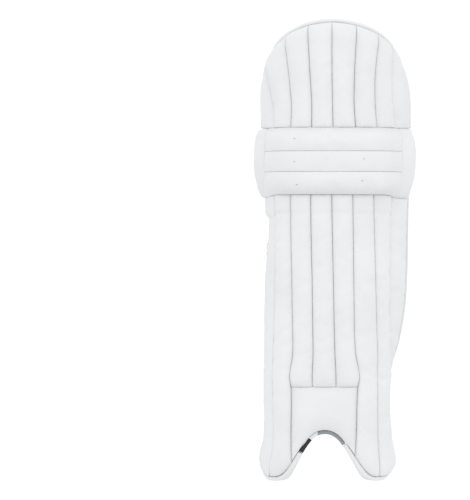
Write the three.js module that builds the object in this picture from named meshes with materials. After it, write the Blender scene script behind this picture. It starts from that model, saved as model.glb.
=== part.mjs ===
// Cricket batting pad, standing upright on its two foot lobes.
// Millimetres. x runs to the outer side of the leg, y to the back, z up.
//
// The whole pad is laid out on one bent sheet that wraps the front of the leg.
// s is the way along the sheet from its mid line, positive to the outer side.
// t is the height off the sheet, positive to the front, negative towards the leg.
import * as THREE from "three";

// Sheet sizes
const TIGHT = 30; // radius of the tighter bend into the sides
const GAP = 0.6; // space left on each side of the sheet between cover and lining
const SEAM = 0.35; // half the space left at a seam between two pieces

// Heights
const CROWN_TOP = 740;
const CROWN_SPRING = 600; // where the crown starts to curve in
const KNEE_TOP = 567;
const KNEE_LOW = 458;
const INSTEP_TOP = 152;
const ARCH_TOP = 75;
const LOBE_CORNER = 54; // height of the round outer corner of a foot lobe
const LINING_LOW = 30; // lower end of the ribbed calf lining
const FACING = { near: 60, far: 110, thick: 8, length: 16, round: 3 }; // leg side of a foot lobe

// Outline along the sheet
const CROWN_IN = 144; // inner edge to mid line
const CROWN_OUT = 157; // outer edge to mid line
const CROWN_CURVE = { across: 1.9, up: 1.75 }; // powers of the crown's curve; 2 and 2 are an ellipse
const ARCH_FOOT = 72; // where the arch meets the flat of a lobe
const LOBE_END = 90; // outer end of the flat of a lobe
const BAND = 7; // width of the edge binding
const RIM = BAND + 0.6; // panels stop here, in from the outline

// Thicknesses off the sheet
const CANE = 22; // crest of a front bolster
const CANE_SIDE = 18; // crest of a bolster on the bend
const VALLEY = 12; // cover thickness at a seam between bolsters
const CANE_END = 8; // cover thickness at the two ends of a bolster
const RIM_THICK = 4.5; // cover thickness at the binding
const ROLL = 41; // crest of a knee roll
const ROLL_VALLEY = 31; // knee roll thickness at its seams
const ROLL_END = 12; // knee roll thickness at its two ends
const SIDE = 3.5; // swell of the padded side panels and wings
const INSTEP = 13;

// One row a height. axis: x of the mid line. face: y of the flat middle. flat: its half width.
// bend: radius of the wide bend, side: sheet width to where the side starts its tighter bend.
// turn: degrees that a side turns back in all, edge: sheet width to the edge.
const SECTIONS = [
  { z: 0, axis: -15, face: -33, flat: 30, bend: 80, side: 114, turnIn: 60, edgeIn: 124, turnOut: 56, edgeOut: 125 },
  { z: 34, axis: -15.5, face: -32, flat: 30, bend: 76, side: 110, turnIn: 64, edgeIn: 127, turnOut: 54, edgeOut: 128 },
  { z: 70, axis: -16, face: -31, flat: 30, bend: 70, side: 95, turnIn: 84, edgeIn: 132, turnOut: 70, edgeOut: 129 },
  { z: 152, axis: -18.5, face: -28, flat: 30, bend: 64, side: 92, turnIn: 94, edgeIn: 138, turnOut: 65, edgeOut: 133 },
  { z: 226, axis: -15.5, face: -26, flat: 28, bend: 71, side: 95, turnIn: 95, edgeIn: 143, turnOut: 54, edgeOut: 147 },
  { z: 300, axis: -11.5, face: -26, flat: 26, bend: 78, side: 98, turnIn: 95, edgeIn: 147, turnOut: 52, edgeOut: 154 },
  { z: 440, axis: -8, face: -27, flat: 24, bend: 82, side: 98, turnIn: 95, edgeIn: 151, turnOut: 54, edgeOut: 157 },
  { z: 513, axis: -5.5, face: -28, flat: 30, bend: 90, side: 108, turnIn: 80, edgeIn: 151, turnOut: 58, edgeOut: 159 },
  { z: 580, axis: -4.5, face: -28, flat: 24, bend: 84, side: 99, turnIn: 60, edgeIn: 144, turnOut: 54, edgeOut: 157 },
  { z: 740, axis: -4, face: -23, flat: 24, bend: 86, side: 104, turnIn: 59, edgeIn: 144, turnOut: 54, edgeOut: 157 },
];

// Seams of the crown, one row a seam: place along the sheet at the knee and at the crown top.
const CROWN_SEAMS = [
  { knee: -89, top: -128 },
  { knee: -58.5, top: -73 },
  { knee: -31, top: -37.5 },
  { knee: 1, top: -1 },
  { knee: 33, top: 36.5 },
  { knee: 62.5, top: 68 },
  { knee: 96, top: 98 },
];

// Seams of the shin, one row a seam: place along the sheet at the knee, instep and floor.
const SHIN_SEAMS = [
  { knee: -86, instep: -78.5, floor: -86 },
  { knee: -58, instep: -46.5, floor: -51.5 },
  { knee: -30.5, instep: -17, floor: -17 },
  { knee: 2, instep: 19.5, floor: 19.5 },
  { knee: 33, instep: 49, floor: 45 },
  { knee: 64, instep: 82, floor: 82 },
];
const WING_SEAM = { knee: 97, tip: 117 };
const WING_LOW = 166; // lower tip of the wing

// Knee rolls and flaps
const ROLL_HALF = 112; // sheet width from the mid line to a roll end
const ROLL_TAPER = 62; // length at each end over which a roll gets thinner
const ROLL_SEAMS = [KNEE_LOW, 497, 529, KNEE_TOP];
const FLAP_IN = 162;
const FLAP_OUT = 170;
const FLAP = 18; // crest of a knee flap

// Back of the pad
const THIGH = 13;
const KNEE_CUSHION = 21;
const CALF_BOLSTER = 19;
const CALF_LINING = 9;
const LINING_RIM = 4;
const LINING_IN = 128; // linings stop here and leave a border of cover
const LINING_OUT = 138;
const CUSHION_SEAMS = { inTop: -66, inLow: -56, outTop: 35, outLow: 30 };
const BOLSTER_SEAMS = { in: -43, out: 29 };
const LABEL = { from: 84, to: 130, low: 478, high: 545, thick: 0.8, lift: 1 };

// Straps, one row a strap: middle height and width of the webbing,
// wrap: its distance from the middle of the edge that it folds round.
const STRAPS = [
  { name: "knee", z: 513, width: 34, wrap: 8.4 },
  { name: "calf", z: 351, width: 60, wrap: 7.9 },
  { name: "ankle", z: 149, width: 55, wrap: 7.3 },
];
const WEBBING = 2.4; // webbing thickness
const WRAP_LENGTH = 1.5; // strap end sewn on the binding's outer face
const STRAP_BOW = 6; // how far a strap stands back at its middle
const TAIL = 62; // folded-back tail
const RING_WIRE = 3;
const RING_BAR = 11.5; // distance between the two upright bars
const RING_SPARE = 3; // bar length past the webbing on each side
const LOOP = 3.8; // radius of the webbing's middle where it turns round a bar

const COLOURS = {
  cover: 0xeceef0,
  cream: 0xe8e4d8,
  ribbed: 0xe4e5e0,
  webbing: 0xf0f0f5,
  black: 0x1c1c1e,
  grey: 0x969e9e,
  ring: 0x3a3c3e,
};

const pad = new THREE.Group();
pad.name = "batting_pad";

// Blending

function mix(a, b, share) {
  return a + (b - a) * share;
}

function clamp(value, low, high) {
  return Math.min(Math.max(value, low), high);
}

function ease(share) {
  const x = clamp(share, 0, 1);
  return x * x * (3 - 2 * x);
}

// Smooth curve through one column of the section table.
function column(name, z) {
  const last = SECTIONS.length - 1;
  const at = clamp(z, SECTIONS[0].z, SECTIONS[last].z);
  let k = 0;
  while (k < last - 1 && at > SECTIONS[k + 1].z) {
    k += 1;
  }
  const slope = (i) => {
    const low = SECTIONS[Math.max(i - 1, 0)];
    const high = SECTIONS[Math.min(i + 1, last)];
    return (high[name] - low[name]) / (high.z - low.z);
  };
  const a = SECTIONS[k];
  const b = SECTIONS[k + 1];
  const span = b.z - a.z;
  const h = (at - a.z) / span;
  const stay = (1 + 2 * h) * (1 - h) * (1 - h);
  const leave = h * (1 - h) * (1 - h) * span * slope(k);
  const arrive = h * h * (h - 1) * span * slope(k + 1);
  return stay * a[name] + (1 - stay) * b[name] + leave + arrive;
}

// The bent sheet

function sheet(s, z, t) {
  const way = s < 0 ? -1 : 1;
  const reach = Math.abs(s);
  const flat = column("flat", z);
  const bend = column("bend", z);
  const turn = THREE.MathUtils.degToRad(column(s < 0 ? "turnIn" : "turnOut", z));
  const most = Math.min((column("side", z) - flat) / bend, turn);
  const wide = clamp((reach - flat) / bend, 0, most);
  const rest = Math.max(reach - flat - bend * wide, 0);
  const angle = Math.min(wide + rest / TIGHT, turn);
  const flank = Math.max(rest - TIGHT * (angle - wide), 0);
  const across =
    Math.min(reach, flat) +
    bend * Math.sin(wide) +
    TIGHT * (Math.sin(angle) - Math.sin(wide)) +
    flank * Math.cos(angle);
  const back =
    bend * (1 - Math.cos(wide)) + TIGHT * (Math.cos(wide) - Math.cos(angle)) + flank * Math.sin(angle);
  return new THREE.Vector3(
    column("axis", z) + way * (across + t * Math.sin(angle)),
    column("face", z) + back - t * Math.cos(angle),
    z,
  );
}

// Outline of the pad; inset moves it inwards.

function crownTop(s, inset) {
  const half = (s < 0 ? CROWN_IN : CROWN_OUT) - inset;
  const share = Math.min(Math.abs(s) / half, 1);
  const rise = Math.pow(1 - Math.pow(share, CROWN_CURVE.across), 1 / CROWN_CURVE.up);
  return CROWN_SPRING + (CROWN_TOP - inset - CROWN_SPRING) * rise;
}

function archHeight(s) {
  const share = Math.pow(Math.abs(s) / ARCH_FOOT, 1.17);
  return share < 1 ? (ARCH_TOP * (1 + Math.cos(Math.PI * share))) / 2 : 0;
}

function footEdge(s, inset) {
  const reach = Math.abs(s);
  if (reach < ARCH_FOOT) {
    const slope = archHeight(reach + 0.5) - archHeight(Math.abs(reach - 0.5));
    return archHeight(s) + inset * Math.hypot(1, slope);
  }
  const half = column(s < 0 ? "edgeIn" : "edgeOut", LOBE_CORNER) - inset - LOBE_END;
  const share = clamp((reach - LOBE_END) / half, 0, 1);
  return LOBE_CORNER - (LOBE_CORNER - inset) * Math.sqrt(1 - share * share);
}

const edgeIn = (z) => -column("edgeIn", z);
const edgeOut = (z) => column("edgeOut", z);

function crownSeam(k) {
  const seam = CROWN_SEAMS[k];
  return (z) => mix(seam.knee, seam.top, (z - KNEE_TOP) / (CROWN_TOP - KNEE_TOP));
}

function shinSeam(k) {
  const seam = SHIN_SEAMS[k];
  return (z) =>
    z > INSTEP_TOP
      ? mix(seam.instep, seam.knee, (z - INSTEP_TOP) / (KNEE_LOW - INSTEP_TOP))
      : mix(seam.floor, seam.instep, z / INSTEP_TOP);
}

function wingSeam(z) {
  const share = (z - WING_LOW) / (KNEE_LOW - WING_LOW);
  return share > 0 ? mix(WING_SEAM.tip, WING_SEAM.knee, share) : edgeOut(z) - RIM;
}

// Solids

function solid(points, faces) {
  let volume = 0;
  for (let k = 0; k < faces.length; k += 3) {
    const [a, b, c] = [points[faces[k]], points[faces[k + 1]], points[faces[k + 2]]];
    volume += a.dot(b.clone().cross(c));
  }
  const geometry = new THREE.BufferGeometry().setFromPoints(points);
  geometry.setIndex(volume < 0 ? faces.slice().reverse() : faces);
  geometry.computeVertexNormals();
  return geometry;
}

function piece(name, geometry, colour) {
  const material = new THREE.MeshStandardMaterial({ color: colour, roughness: 0.6, flatShading: true });
  const mesh = new THREE.Mesh(geometry, material);
  mesh.name = name;
  pad.add(mesh);
}

// A closed piece of the sheet between two seams and two ends.
function panel({ left, right, low, high, columns, rows, front, back }) {
  const points = [];
  const faces = [];
  const across = columns.length;
  const up = rows.length;
  for (const height of [front, back]) {
    for (const v of rows) {
      for (const u of columns) {
        let z = mix(low(0), high(0), v);
        let s = mix(left(z), right(z), u);
        for (let pass = 0; pass < 6; pass += 1) {
          z = mix(low(s), high(s), v);
          s = mix(left(z) + SEAM, right(z) - SEAM, u);
        }
        const lift = clamp(v, 0.0005, 0.9995);
        z = mix(low(s) + SEAM, high(s) - SEAM, v);
        points.push(sheet(s, z, height(u, lift, s, z)));
      }
    }
  }
  const at = (layer, i, j) => (layer * up + j) * across + i;
  const quad = (a, b, c, d) => faces.push(a, b, c, a, c, d);
  for (let j = 0; j < up - 1; j += 1) {
    for (let i = 0; i < across - 1; i += 1) {
      quad(at(0, i, j), at(0, i + 1, j), at(0, i + 1, j + 1), at(0, i, j + 1));
      quad(at(1, i, j), at(1, i, j + 1), at(1, i + 1, j + 1), at(1, i + 1, j));
    }
    quad(at(0, 0, j), at(0, 0, j + 1), at(1, 0, j + 1), at(1, 0, j));
    const end = across - 1;
    quad(at(0, end, j), at(1, end, j), at(1, end, j + 1), at(0, end, j + 1));
  }
  for (let i = 0; i < across - 1; i += 1) {
    quad(at(0, i, 0), at(1, i, 0), at(1, i + 1, 0), at(0, i + 1, 0));
    const end = up - 1;
    quad(at(0, i, end), at(0, i + 1, end), at(1, i + 1, end), at(1, i, end));
  }
  return solid(points, faces);
}

// A closed solid through a row of like rings of points.
function sweep(rings, closed = false) {
  const count = rings[0].length;
  const points = rings.flat();
  const faces = [];
  const spans = closed ? rings.length : rings.length - 1;
  for (let k = 0; k < spans; k += 1) {
    const next = (k + 1) % rings.length;
    for (let i = 0; i < count; i += 1) {
      const j = (i + 1) % count;
      const [a, b, c, d] = [k * count + i, k * count + j, next * count + j, next * count + i];
      faces.push(a, b, c, a, c, d);
    }
  }
  if (!closed) {
    const end = (rings.length - 1) * count;
    for (let i = 1; i < count - 1; i += 1) {
      faces.push(0, i + 1, i, end, end + i, end + i + 1);
    }
  }
  return solid(points, faces);
}

// Evenly spaced shares from 0 to 1, with extra ones near the ends.
function shares(count, ends = []) {
  const list = [];
  for (let k = 0; k <= count; k += 1) {
    list.push(k / count);
  }
  for (const end of ends) {
    list.push(end, 1 - end);
  }
  return [...new Set(list)].sort((a, b) => a - b);
}

// Shares up a panel for a list of heights.
function levels(low, high, heights) {
  return [low, ...heights, high].map((z) => (z - low) / (high - low));
}

// Shares across a wide panel, closer together where the sheet bends.
function bendShares(from, to) {
  const list = [from, to];
  for (let s = -168; s <= 168; s += 12) {
    if (s > from + 5 && s < to - 5 && (Math.abs(s) > 20 || s === 0)) {
      list.push(s);
    }
  }
  return list.sort((a, b) => a - b).map((s) => (s - from) / (to - from));
}

// Swell of a stuffed panel across its width: steep at the seams, flat on top.
function swell(u) {
  return Math.pow(Math.max(1 - Math.pow(Math.abs(2 * u - 1), 2.3), 0), 0.65);
}

// Rounding of a stuffed panel at its two ends; distances from the end in mm.
function ends(v, length, roundLow, roundHigh) {
  const round = (distance, size) => {
    const share = clamp(1 - distance / size, 0, 1);
    return Math.sqrt(1 - share * share);
  };
  return round(v * length, roundLow) * round((1 - v) * length, roundHigh);
}

// Height of a bolster, lower at its ends, and of a side panel that thins out towards its edge.
const bolster = (u, crest, fullness) => {
  const middle = VALLEY + (crest - VALLEY) * swell(u);
  return mix(CANE_END, middle, fullness);
};
const sidePad = (u, fromSeam) => mix(VALLEY, RIM_THICK, fromSeam) + SIDE * swell(u);

const flatBack = () => GAP;
const flatFront = () => -GAP;
const ACROSS = [0, 0.1, 0.32, 0.68, 0.9, 1];

// Front cover of the crown

const crownRows = [0, 0.05, 0.3, 0.6, 0.82, 0.93, 0.98, 1];
const kneeTop = () => KNEE_TOP;
const crownEdge = (s) => crownTop(s, RIM);

for (let k = 0; k < CROWN_SEAMS.length - 1; k += 1) {
  piece(
    `crown_bolster_${k + 1}`,
    panel({
      left: crownSeam(k),
      right: crownSeam(k + 1),
      low: kneeTop,
      high: crownEdge,
      columns: ACROSS,
      rows: crownRows,
      front: (u, v) => bolster(u, k === 0 || k === 5 ? CANE_SIDE : CANE, ends(v, 160, 8, 26)),
      back: flatBack,
    }),
    COLOURS.cover,
  );
}

const crownSides = [
  { name: "crown_side_inner", left: () => -CROWN_IN + RIM, right: crownSeam(0) },
  { name: "crown_wing_outer", left: crownSeam(CROWN_SEAMS.length - 1), right: () => CROWN_OUT - RIM },
];
for (const side of crownSides) {
  piece(
    side.name,
    panel({
      ...side,
      low: kneeTop,
      high: crownEdge,
      columns: [0, 0.2, 0.5, 0.8, 1],
      rows: crownRows,
      front: (u) => sidePad(u, side.name === "crown_side_inner" ? 1 - u : u),
      back: flatBack,
    }),
    COLOURS.cover,
  );
}

// Knee rolls and the flaps at their ends

for (let k = 0; k < 3; k += 1) {
  piece(
    `knee_roll_${k + 1}`,
    panel({
      left: () => -ROLL_HALF,
      right: () => ROLL_HALF,
      low: () => ROLL_SEAMS[k],
      high: () => ROLL_SEAMS[k + 1],
      columns: bendShares(-ROLL_HALF, ROLL_HALF),
      rows: [0, 0.1, 0.32, 0.68, 0.9, 1],
      front: (u, v) => {
        const fromEnd = ROLL_HALF * (1 - Math.abs(2 * u - 1));
        const full = Math.sin((Math.PI / 2) * Math.min(fromEnd / ROLL_TAPER, 1));
        return mix(mix(VALLEY, ROLL_VALLEY, full), mix(ROLL_END, ROLL, full), swell(v));
      },
      back: flatBack,
    }),
    COLOURS.cover,
  );
}

// A flap is narrower at its top and bottom corners.
function flapEdge(width) {
  return (z) => width - 14 * ease((492 - z) / 34) - 12 * ease((z - 538) / 29);
}

const flaps = [
  { name: "knee_flap_inner", left: (z) => -flapEdge(FLAP_IN)(z), right: () => -ROLL_HALF },
  { name: "knee_flap_outer", left: () => ROLL_HALF, right: flapEdge(FLAP_OUT) },
];
for (const flap of flaps) {
  piece(
    flap.name,
    panel({
      ...flap,
      low: () => KNEE_LOW,
      high: kneeTop,
      columns: [0, 0.12, 0.35, 0.65, 0.88, 1],
      rows: [0, 0.08, 0.3, 0.5, 0.7, 0.92, 1],
      front: (u, v) => {
        const fromEdge = flap.name === "knee_flap_inner" ? u : 1 - u;
        const rise = ease(fromEdge / 0.55) * (1 - 0.45 * Math.pow(fromEdge, 6));
        return RIM_THICK + (FLAP - RIM_THICK) * rise * ends(v, KNEE_TOP - KNEE_LOW, 16, 16);
      },
      back: flatBack,
    }),
    COLOURS.cover,
  );
}

// Shin bolsters. The middle three end at the instep seam, the others run down to the lobes.

const kneeLow = () => KNEE_LOW;
const footRows = levels(8, KNEE_LOW, [13, 26, 40, 54, 70, 90, 120, 152, 176, 200, 226, 263, 300, 380, 446]);
const shinRows = levels(INSTEP_TOP, KNEE_LOW, [157, 172, 226, 300, 380, 446]);
const shinBounds = [
  (z) => edgeIn(z) + RIM,
  ...SHIN_SEAMS.map((seam, k) => shinSeam(k)),
  wingSeam,
];
for (let k = 0; k < shinBounds.length - 1; k += 1) {
  const middle = k >= 2 && k <= 4;
  const crest = k === 1 || k > 4 ? CANE_SIDE : CANE;
  const length = middle ? KNEE_LOW - INSTEP_TOP : KNEE_LOW;
  piece(
    `shin_bolster_${k + 1}`,
    panel({
      left: shinBounds[k],
      right: shinBounds[k + 1],
      low: middle ? () => INSTEP_TOP : (s) => footEdge(s, RIM),
      high: kneeLow,
      columns: k === 0 ? shares(6, [0.07]) : ACROSS,
      rows: middle ? shinRows : footRows,
      front: (u, v) => (k === 0 ? sidePad(u, 1 - u) : bolster(u, crest, ends(v, length, 20, 10))),
      back: flatBack,
    }),
    COLOURS.cover,
  );
}

piece(
  "shin_wing_outer",
  panel({
    left: wingSeam,
    right: (z) => edgeOut(z) - RIM,
    low: () => WING_LOW,
    high: kneeLow,
    columns: [0, 0.2, 0.5, 0.8, 1],
    rows: levels(WING_LOW, KNEE_LOW, [176, 200, 226, 263, 300, 380, 446]),
    front: (u) => sidePad(u, u),
    back: flatBack,
  }),
  COLOURS.cover,
);

piece(
  "instep_panel",
  panel({
    left: shinSeam(1),
    right: shinSeam(4),
    low: (s) => footEdge(s, RIM + 0.5),
    high: () => INSTEP_TOP,
    columns: [0, 0.08, 0.24, 0.4, 0.5, 0.6, 0.76, 0.92, 1],
    rows: [0, 0.15, 0.45, 0.75, 0.94, 1],
    front: (u, v) => bolster(u, INSTEP, ends(v, 75, 8, 6)),
    back: flatBack,
  }),
  COLOURS.cover,
);

// Edge binding: a folded tape that covers the rim. Paths run clockwise seen from the front.

// thickness gives the heights of its back and front off the sheet at a place s.
function binding(name, path, thickness, colour) {
  const inside = BAND / 2 - SEAM;
  const half = BAND / 2;
  const rings = path.map(([s, z], k) => {
    const before = path[Math.max(k - 1, 0)];
    const after = path[Math.min(k + 1, path.length - 1)];
    const length = Math.hypot(after[0] - before[0], after[1] - before[1]);
    const out = [-(after[1] - before[1]) / length, (after[0] - before[0]) / length];
    const [back, front] = thickness(s);
    const corner = (n, t) => sheet(s + out[0] * n, z + out[1] * n, t);
    return [
      corner(-inside, back),
      corner(-inside, front),
      corner(half - 1.5, front),
      corner(half, front - 2),
      corner(half, back + 2),
      corner(half - 1.5, back),
    ];
  });
  piece(name, sweep(rings), colour);
}

function pathOf(count, place) {
  const path = [];
  for (let k = 0; k <= count; k += 1) {
    path.push(place(k / count));
  }
  return path;
}

const MID = BAND / 2; // binding's middle, in from the outline

const crownArc = pathOf(26, (share) => {
  const angle = Math.PI * (1 - share);
  const way = angle > Math.PI / 2 ? -1 : 1;
  const half = (way < 0 ? CROWN_IN : CROWN_OUT) - MID;
  const across = Math.pow(Math.abs(Math.cos(angle)), 2 / CROWN_CURVE.across);
  const up = Math.pow(Math.sin(angle), 2 / CROWN_CURVE.up);
  return [way * half * across, CROWN_SPRING + (CROWN_TOP - MID - CROWN_SPRING) * up];
});
const crownPath = [
  [-CROWN_IN + MID, KNEE_TOP + 1],
  [-CROWN_IN + MID, (KNEE_TOP + CROWN_SPRING) / 2],
  ...crownArc,
  [CROWN_OUT - MID, (KNEE_TOP + CROWN_SPRING) / 2],
  [CROWN_OUT - MID, KNEE_TOP + 1],
];
binding("crown_binding", crownPath, () => [-4, 6.5], COLOURS.cover);

const sideThickness = () => [-4, 5];
const archThickness = () => [-6, 11];
const sideLow = LOBE_CORNER + 2;
const sideHigh = KNEE_LOW - 1;
binding(
  "side_binding_inner",
  pathOf(9, (share) => {
    const z = mix(sideLow, sideHigh, share);
    return [edgeIn(z) + MID, z];
  }),
  sideThickness,
  COLOURS.cover,
);
binding(
  "side_binding_outer",
  pathOf(12, (share) => {
    const z = mix(sideHigh, sideLow, share);
    return [edgeOut(z) - MID, z];
  }),
  sideThickness,
  COLOURS.cover,
);

// The lobe's outer corner as a quarter ellipse, from the floor up to the side.
function lobeCorner(way) {
  const half = column(way < 0 ? "edgeIn" : "edgeOut", LOBE_CORNER) - MID - LOBE_END;
  return pathOf(10, (share) => {
    const angle = (share * Math.PI) / 2;
    const s = way * (LOBE_END + half * Math.sin(angle));
    return [s, LOBE_CORNER - (LOBE_CORNER - MID) * Math.cos(angle)];
  });
}

// Part of the arch edge between two places along the sheet.
function archPath(from, to, count) {
  return pathOf(count, (share) => {
    const s = mix(from, to, share);
    return [s, footEdge(s, MID)];
  });
}

// Lengths of the arch tape: each ends at its place along the sheet, a small space short of the next.
const ARCH = { outer: 33, grey: -11.5, white: -22.5, black: -38 };
const JOIN = 1;
const flat = [
  [LOBE_END - 1, MID],
  [ARCH_FOOT + 1, MID],
];
const flatIn = flat.map(([s, z]) => [-s, z]).reverse();
const outerLobe = [...lobeCorner(1).reverse(), ...flat, ...archPath(ARCH_FOOT, ARCH.outer + JOIN, 6)];
const innerLobe = [...archPath(ARCH.black - JOIN, -ARCH_FOOT, 5), ...flatIn, ...lobeCorner(-1)];

// Full under the foot, as the arch's at its end there, and as the side's at the other.
function lobeThickness(s) {
  const side = ease((Math.abs(s) - LOBE_END) / 30);
  const arch = ease((ARCH_FOOT - Math.abs(s)) / 30);
  return [-12 + 8 * side + 6 * arch, 13 - 8 * side - 2 * arch];
}
binding("lobe_binding_outer", outerLobe, lobeThickness, COLOURS.cover);
binding("arch_binding_grey", archPath(ARCH.outer, ARCH.grey, 8), archThickness, COLOURS.grey);
binding("arch_binding_white", archPath(ARCH.grey - JOIN, ARCH.white, 2), archThickness, COLOURS.cover);
binding("arch_binding_black", archPath(ARCH.white - JOIN, ARCH.black, 4), archThickness, COLOURS.black);
binding("lobe_binding_inner", innerLobe, lobeThickness, COLOURS.cover);

// Linings on the leg side

function lining(name, bounds, crest, columns, rows, rounds) {
  const { length, roundLow, roundHigh } = rounds;
  piece(
    name,
    panel({
      ...bounds,
      columns,
      rows,
      front: flatFront,
      back: (u, v) => -LINING_RIM - (crest - LINING_RIM) * swell(u) * ends(v, length, roundLow, roundHigh),
    }),
    bounds.colour,
  );
}

lining(
  "thigh_lining",
  {
    left: () => -CROWN_IN + RIM,
    right: () => CROWN_OUT - RIM,
    low: kneeTop,
    high: crownEdge,
    colour: COLOURS.cream,
  },
  THIGH,
  bendShares(-CROWN_IN + RIM, CROWN_OUT - RIM),
  [0, 0.05, 0.35, 0.7, 0.92, 1],
  { length: 150, roundLow: 10, roundHigh: 16 },
);

const cushionShare = (z) => (z - KNEE_LOW) / (KNEE_TOP - KNEE_LOW);
const cushionIn = (z) => mix(CUSHION_SEAMS.inLow, CUSHION_SEAMS.inTop, cushionShare(z));
const cushionOut = (z) => mix(CUSHION_SEAMS.outLow, CUSHION_SEAMS.outTop, cushionShare(z));
const cushionRows = [0, 0.06, 0.22, 0.5, 0.78, 0.94, 1];
const cushionRound = { length: KNEE_TOP - KNEE_LOW, roundLow: 22, roundHigh: 14 };
const cushions = [
  { name: "knee_cushion_inner", left: () => -LINING_IN - 12, right: cushionIn },
  { name: "knee_cushion_centre", left: cushionIn, right: cushionOut },
  { name: "knee_cushion_outer", left: cushionOut, right: () => LINING_OUT + 8 },
];
for (const cushion of cushions) {
  const bounds = { ...cushion, low: kneeLow, high: kneeTop, colour: COLOURS.cream };
  lining(cushion.name, bounds, KNEE_CUSHION, shares(6, [0.06]), cushionRows, cushionRound);
}

lining(
  "calf_bolster",
  {
    left: () => BOLSTER_SEAMS.in,
    right: () => BOLSTER_SEAMS.out,
    low: (s) => footEdge(s, RIM + 0.5),
    high: kneeLow,
    colour: COLOURS.cream,
  },
  CALF_BOLSTER,
  shares(4, [0.08]),
  levels(80, KNEE_LOW, [90, 120, 152, 200, 226, 263, 300, 380, 446]),
  { length: 370, roundLow: 30, roundHigh: 14 },
);

// The lower end of a calf lining follows the arch and stops above the lobe.
function liningLow(s) {
  return Math.max(footEdge(s, RIM + 0.5), LINING_LOW);
}
const liningRows = levels(LINING_LOW, KNEE_LOW, [38, 52, 70, 90, 120, 152, 176, 200, 226, 263, 300, 380, 446]);
const calfLinings = [
  {
    name: "calf_lining_inner",
    left: (z) => Math.max(edgeIn(z) + BAND + 6, -LINING_IN),
    right: () => BOLSTER_SEAMS.in,
  },
  {
    name: "calf_lining_outer",
    left: () => BOLSTER_SEAMS.out,
    right: (z) => Math.min(edgeOut(z) - BAND - 6, LINING_OUT),
  },
];
for (const side of calfLinings) {
  const bounds = { ...side, low: liningLow, high: kneeLow, colour: COLOURS.ribbed };
  lining(side.name, bounds, CALF_LINING, shares(6, [0.05]), liningRows, { length: 410, roundLow: 10, roundHigh: 10 });
}

// Facings on the leg side of the foot lobes, below the calf linings.
const facings = [
  { name: "lobe_facing_inner", left: () => -FACING.far, right: () => -FACING.near },
  { name: "lobe_facing_outer", left: () => FACING.near, right: () => FACING.far },
];
for (const facing of facings) {
  const bounds = {
    ...facing,
    low: (s) => footEdge(s, RIM + 0.5),
    high: () => LINING_LOW,
    colour: COLOURS.cover,
  };
  const { thick, length, round } = FACING;
  lining(facing.name, bounds, thick, shares(5), [0, 0.3, 0.7, 1], { length, roundLow: round, roundHigh: round });
}

// Bare sewn label on the outer knee cushion

function outerCushionDepth(s, z) {
  const u = (s - cushionOut(z)) / (LINING_OUT + 8 - cushionOut(z));
  const { length, roundLow, roundHigh } = cushionRound;
  return LINING_RIM + (KNEE_CUSHION - LINING_RIM) * swell(u) * ends(cushionShare(z), length, roundLow, roundHigh);
}
piece(
  "sewn_label",
  panel({
    left: () => LABEL.from,
    right: () => LABEL.to,
    low: () => LABEL.low,
    high: () => LABEL.high,
    columns: shares(4),
    rows: shares(4),
    front: (u, v, s, z) => -outerCushionDepth(s, z) - LABEL.lift,
    back: (u, v, s, z) => -outerCushionDepth(s, z) - LABEL.lift - LABEL.thick,
  }),
  COLOURS.webbing,
);

// Straps, each with a ring held by a tab at the outer edge

const plan = (s, z, t) => {
  const point = sheet(s, z, t);
  return new THREE.Vector2(point.x, point.y);
};
const leftOf = (way) => new THREE.Vector2(-way.y, way.x);

// Points on a turn to the left round a centre, from one heading through an angle.
function turnLeft(centre, radius, heading, angle, count) {
  const list = [];
  for (let k = 0; k <= count; k += 1) {
    const out = leftOf(heading).negate().rotateAround(new THREE.Vector2(), (angle * k) / count);
    list.push(centre.clone().addScaledVector(out, radius));
  }
  return list;
}

// Webbing along a path seen from above, between two heights.
function webbing(path, thick, low, high) {
  const rings = path.map((point, k) => {
    const before = path[Math.max(k - 1, 0)];
    const after = path[Math.min(k + 1, path.length - 1)];
    const aside = leftOf(after.clone().sub(before).normalize()).multiplyScalar(thick / 2);
    const [a, b] = [point.clone().add(aside), point.clone().sub(aside)];
    return [
      new THREE.Vector3(a.x, a.y, low),
      new THREE.Vector3(b.x, b.y, low),
      new THREE.Vector3(b.x, b.y, high),
      new THREE.Vector3(a.x, a.y, high),
    ];
  });
  return sweep(rings);
}

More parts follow.
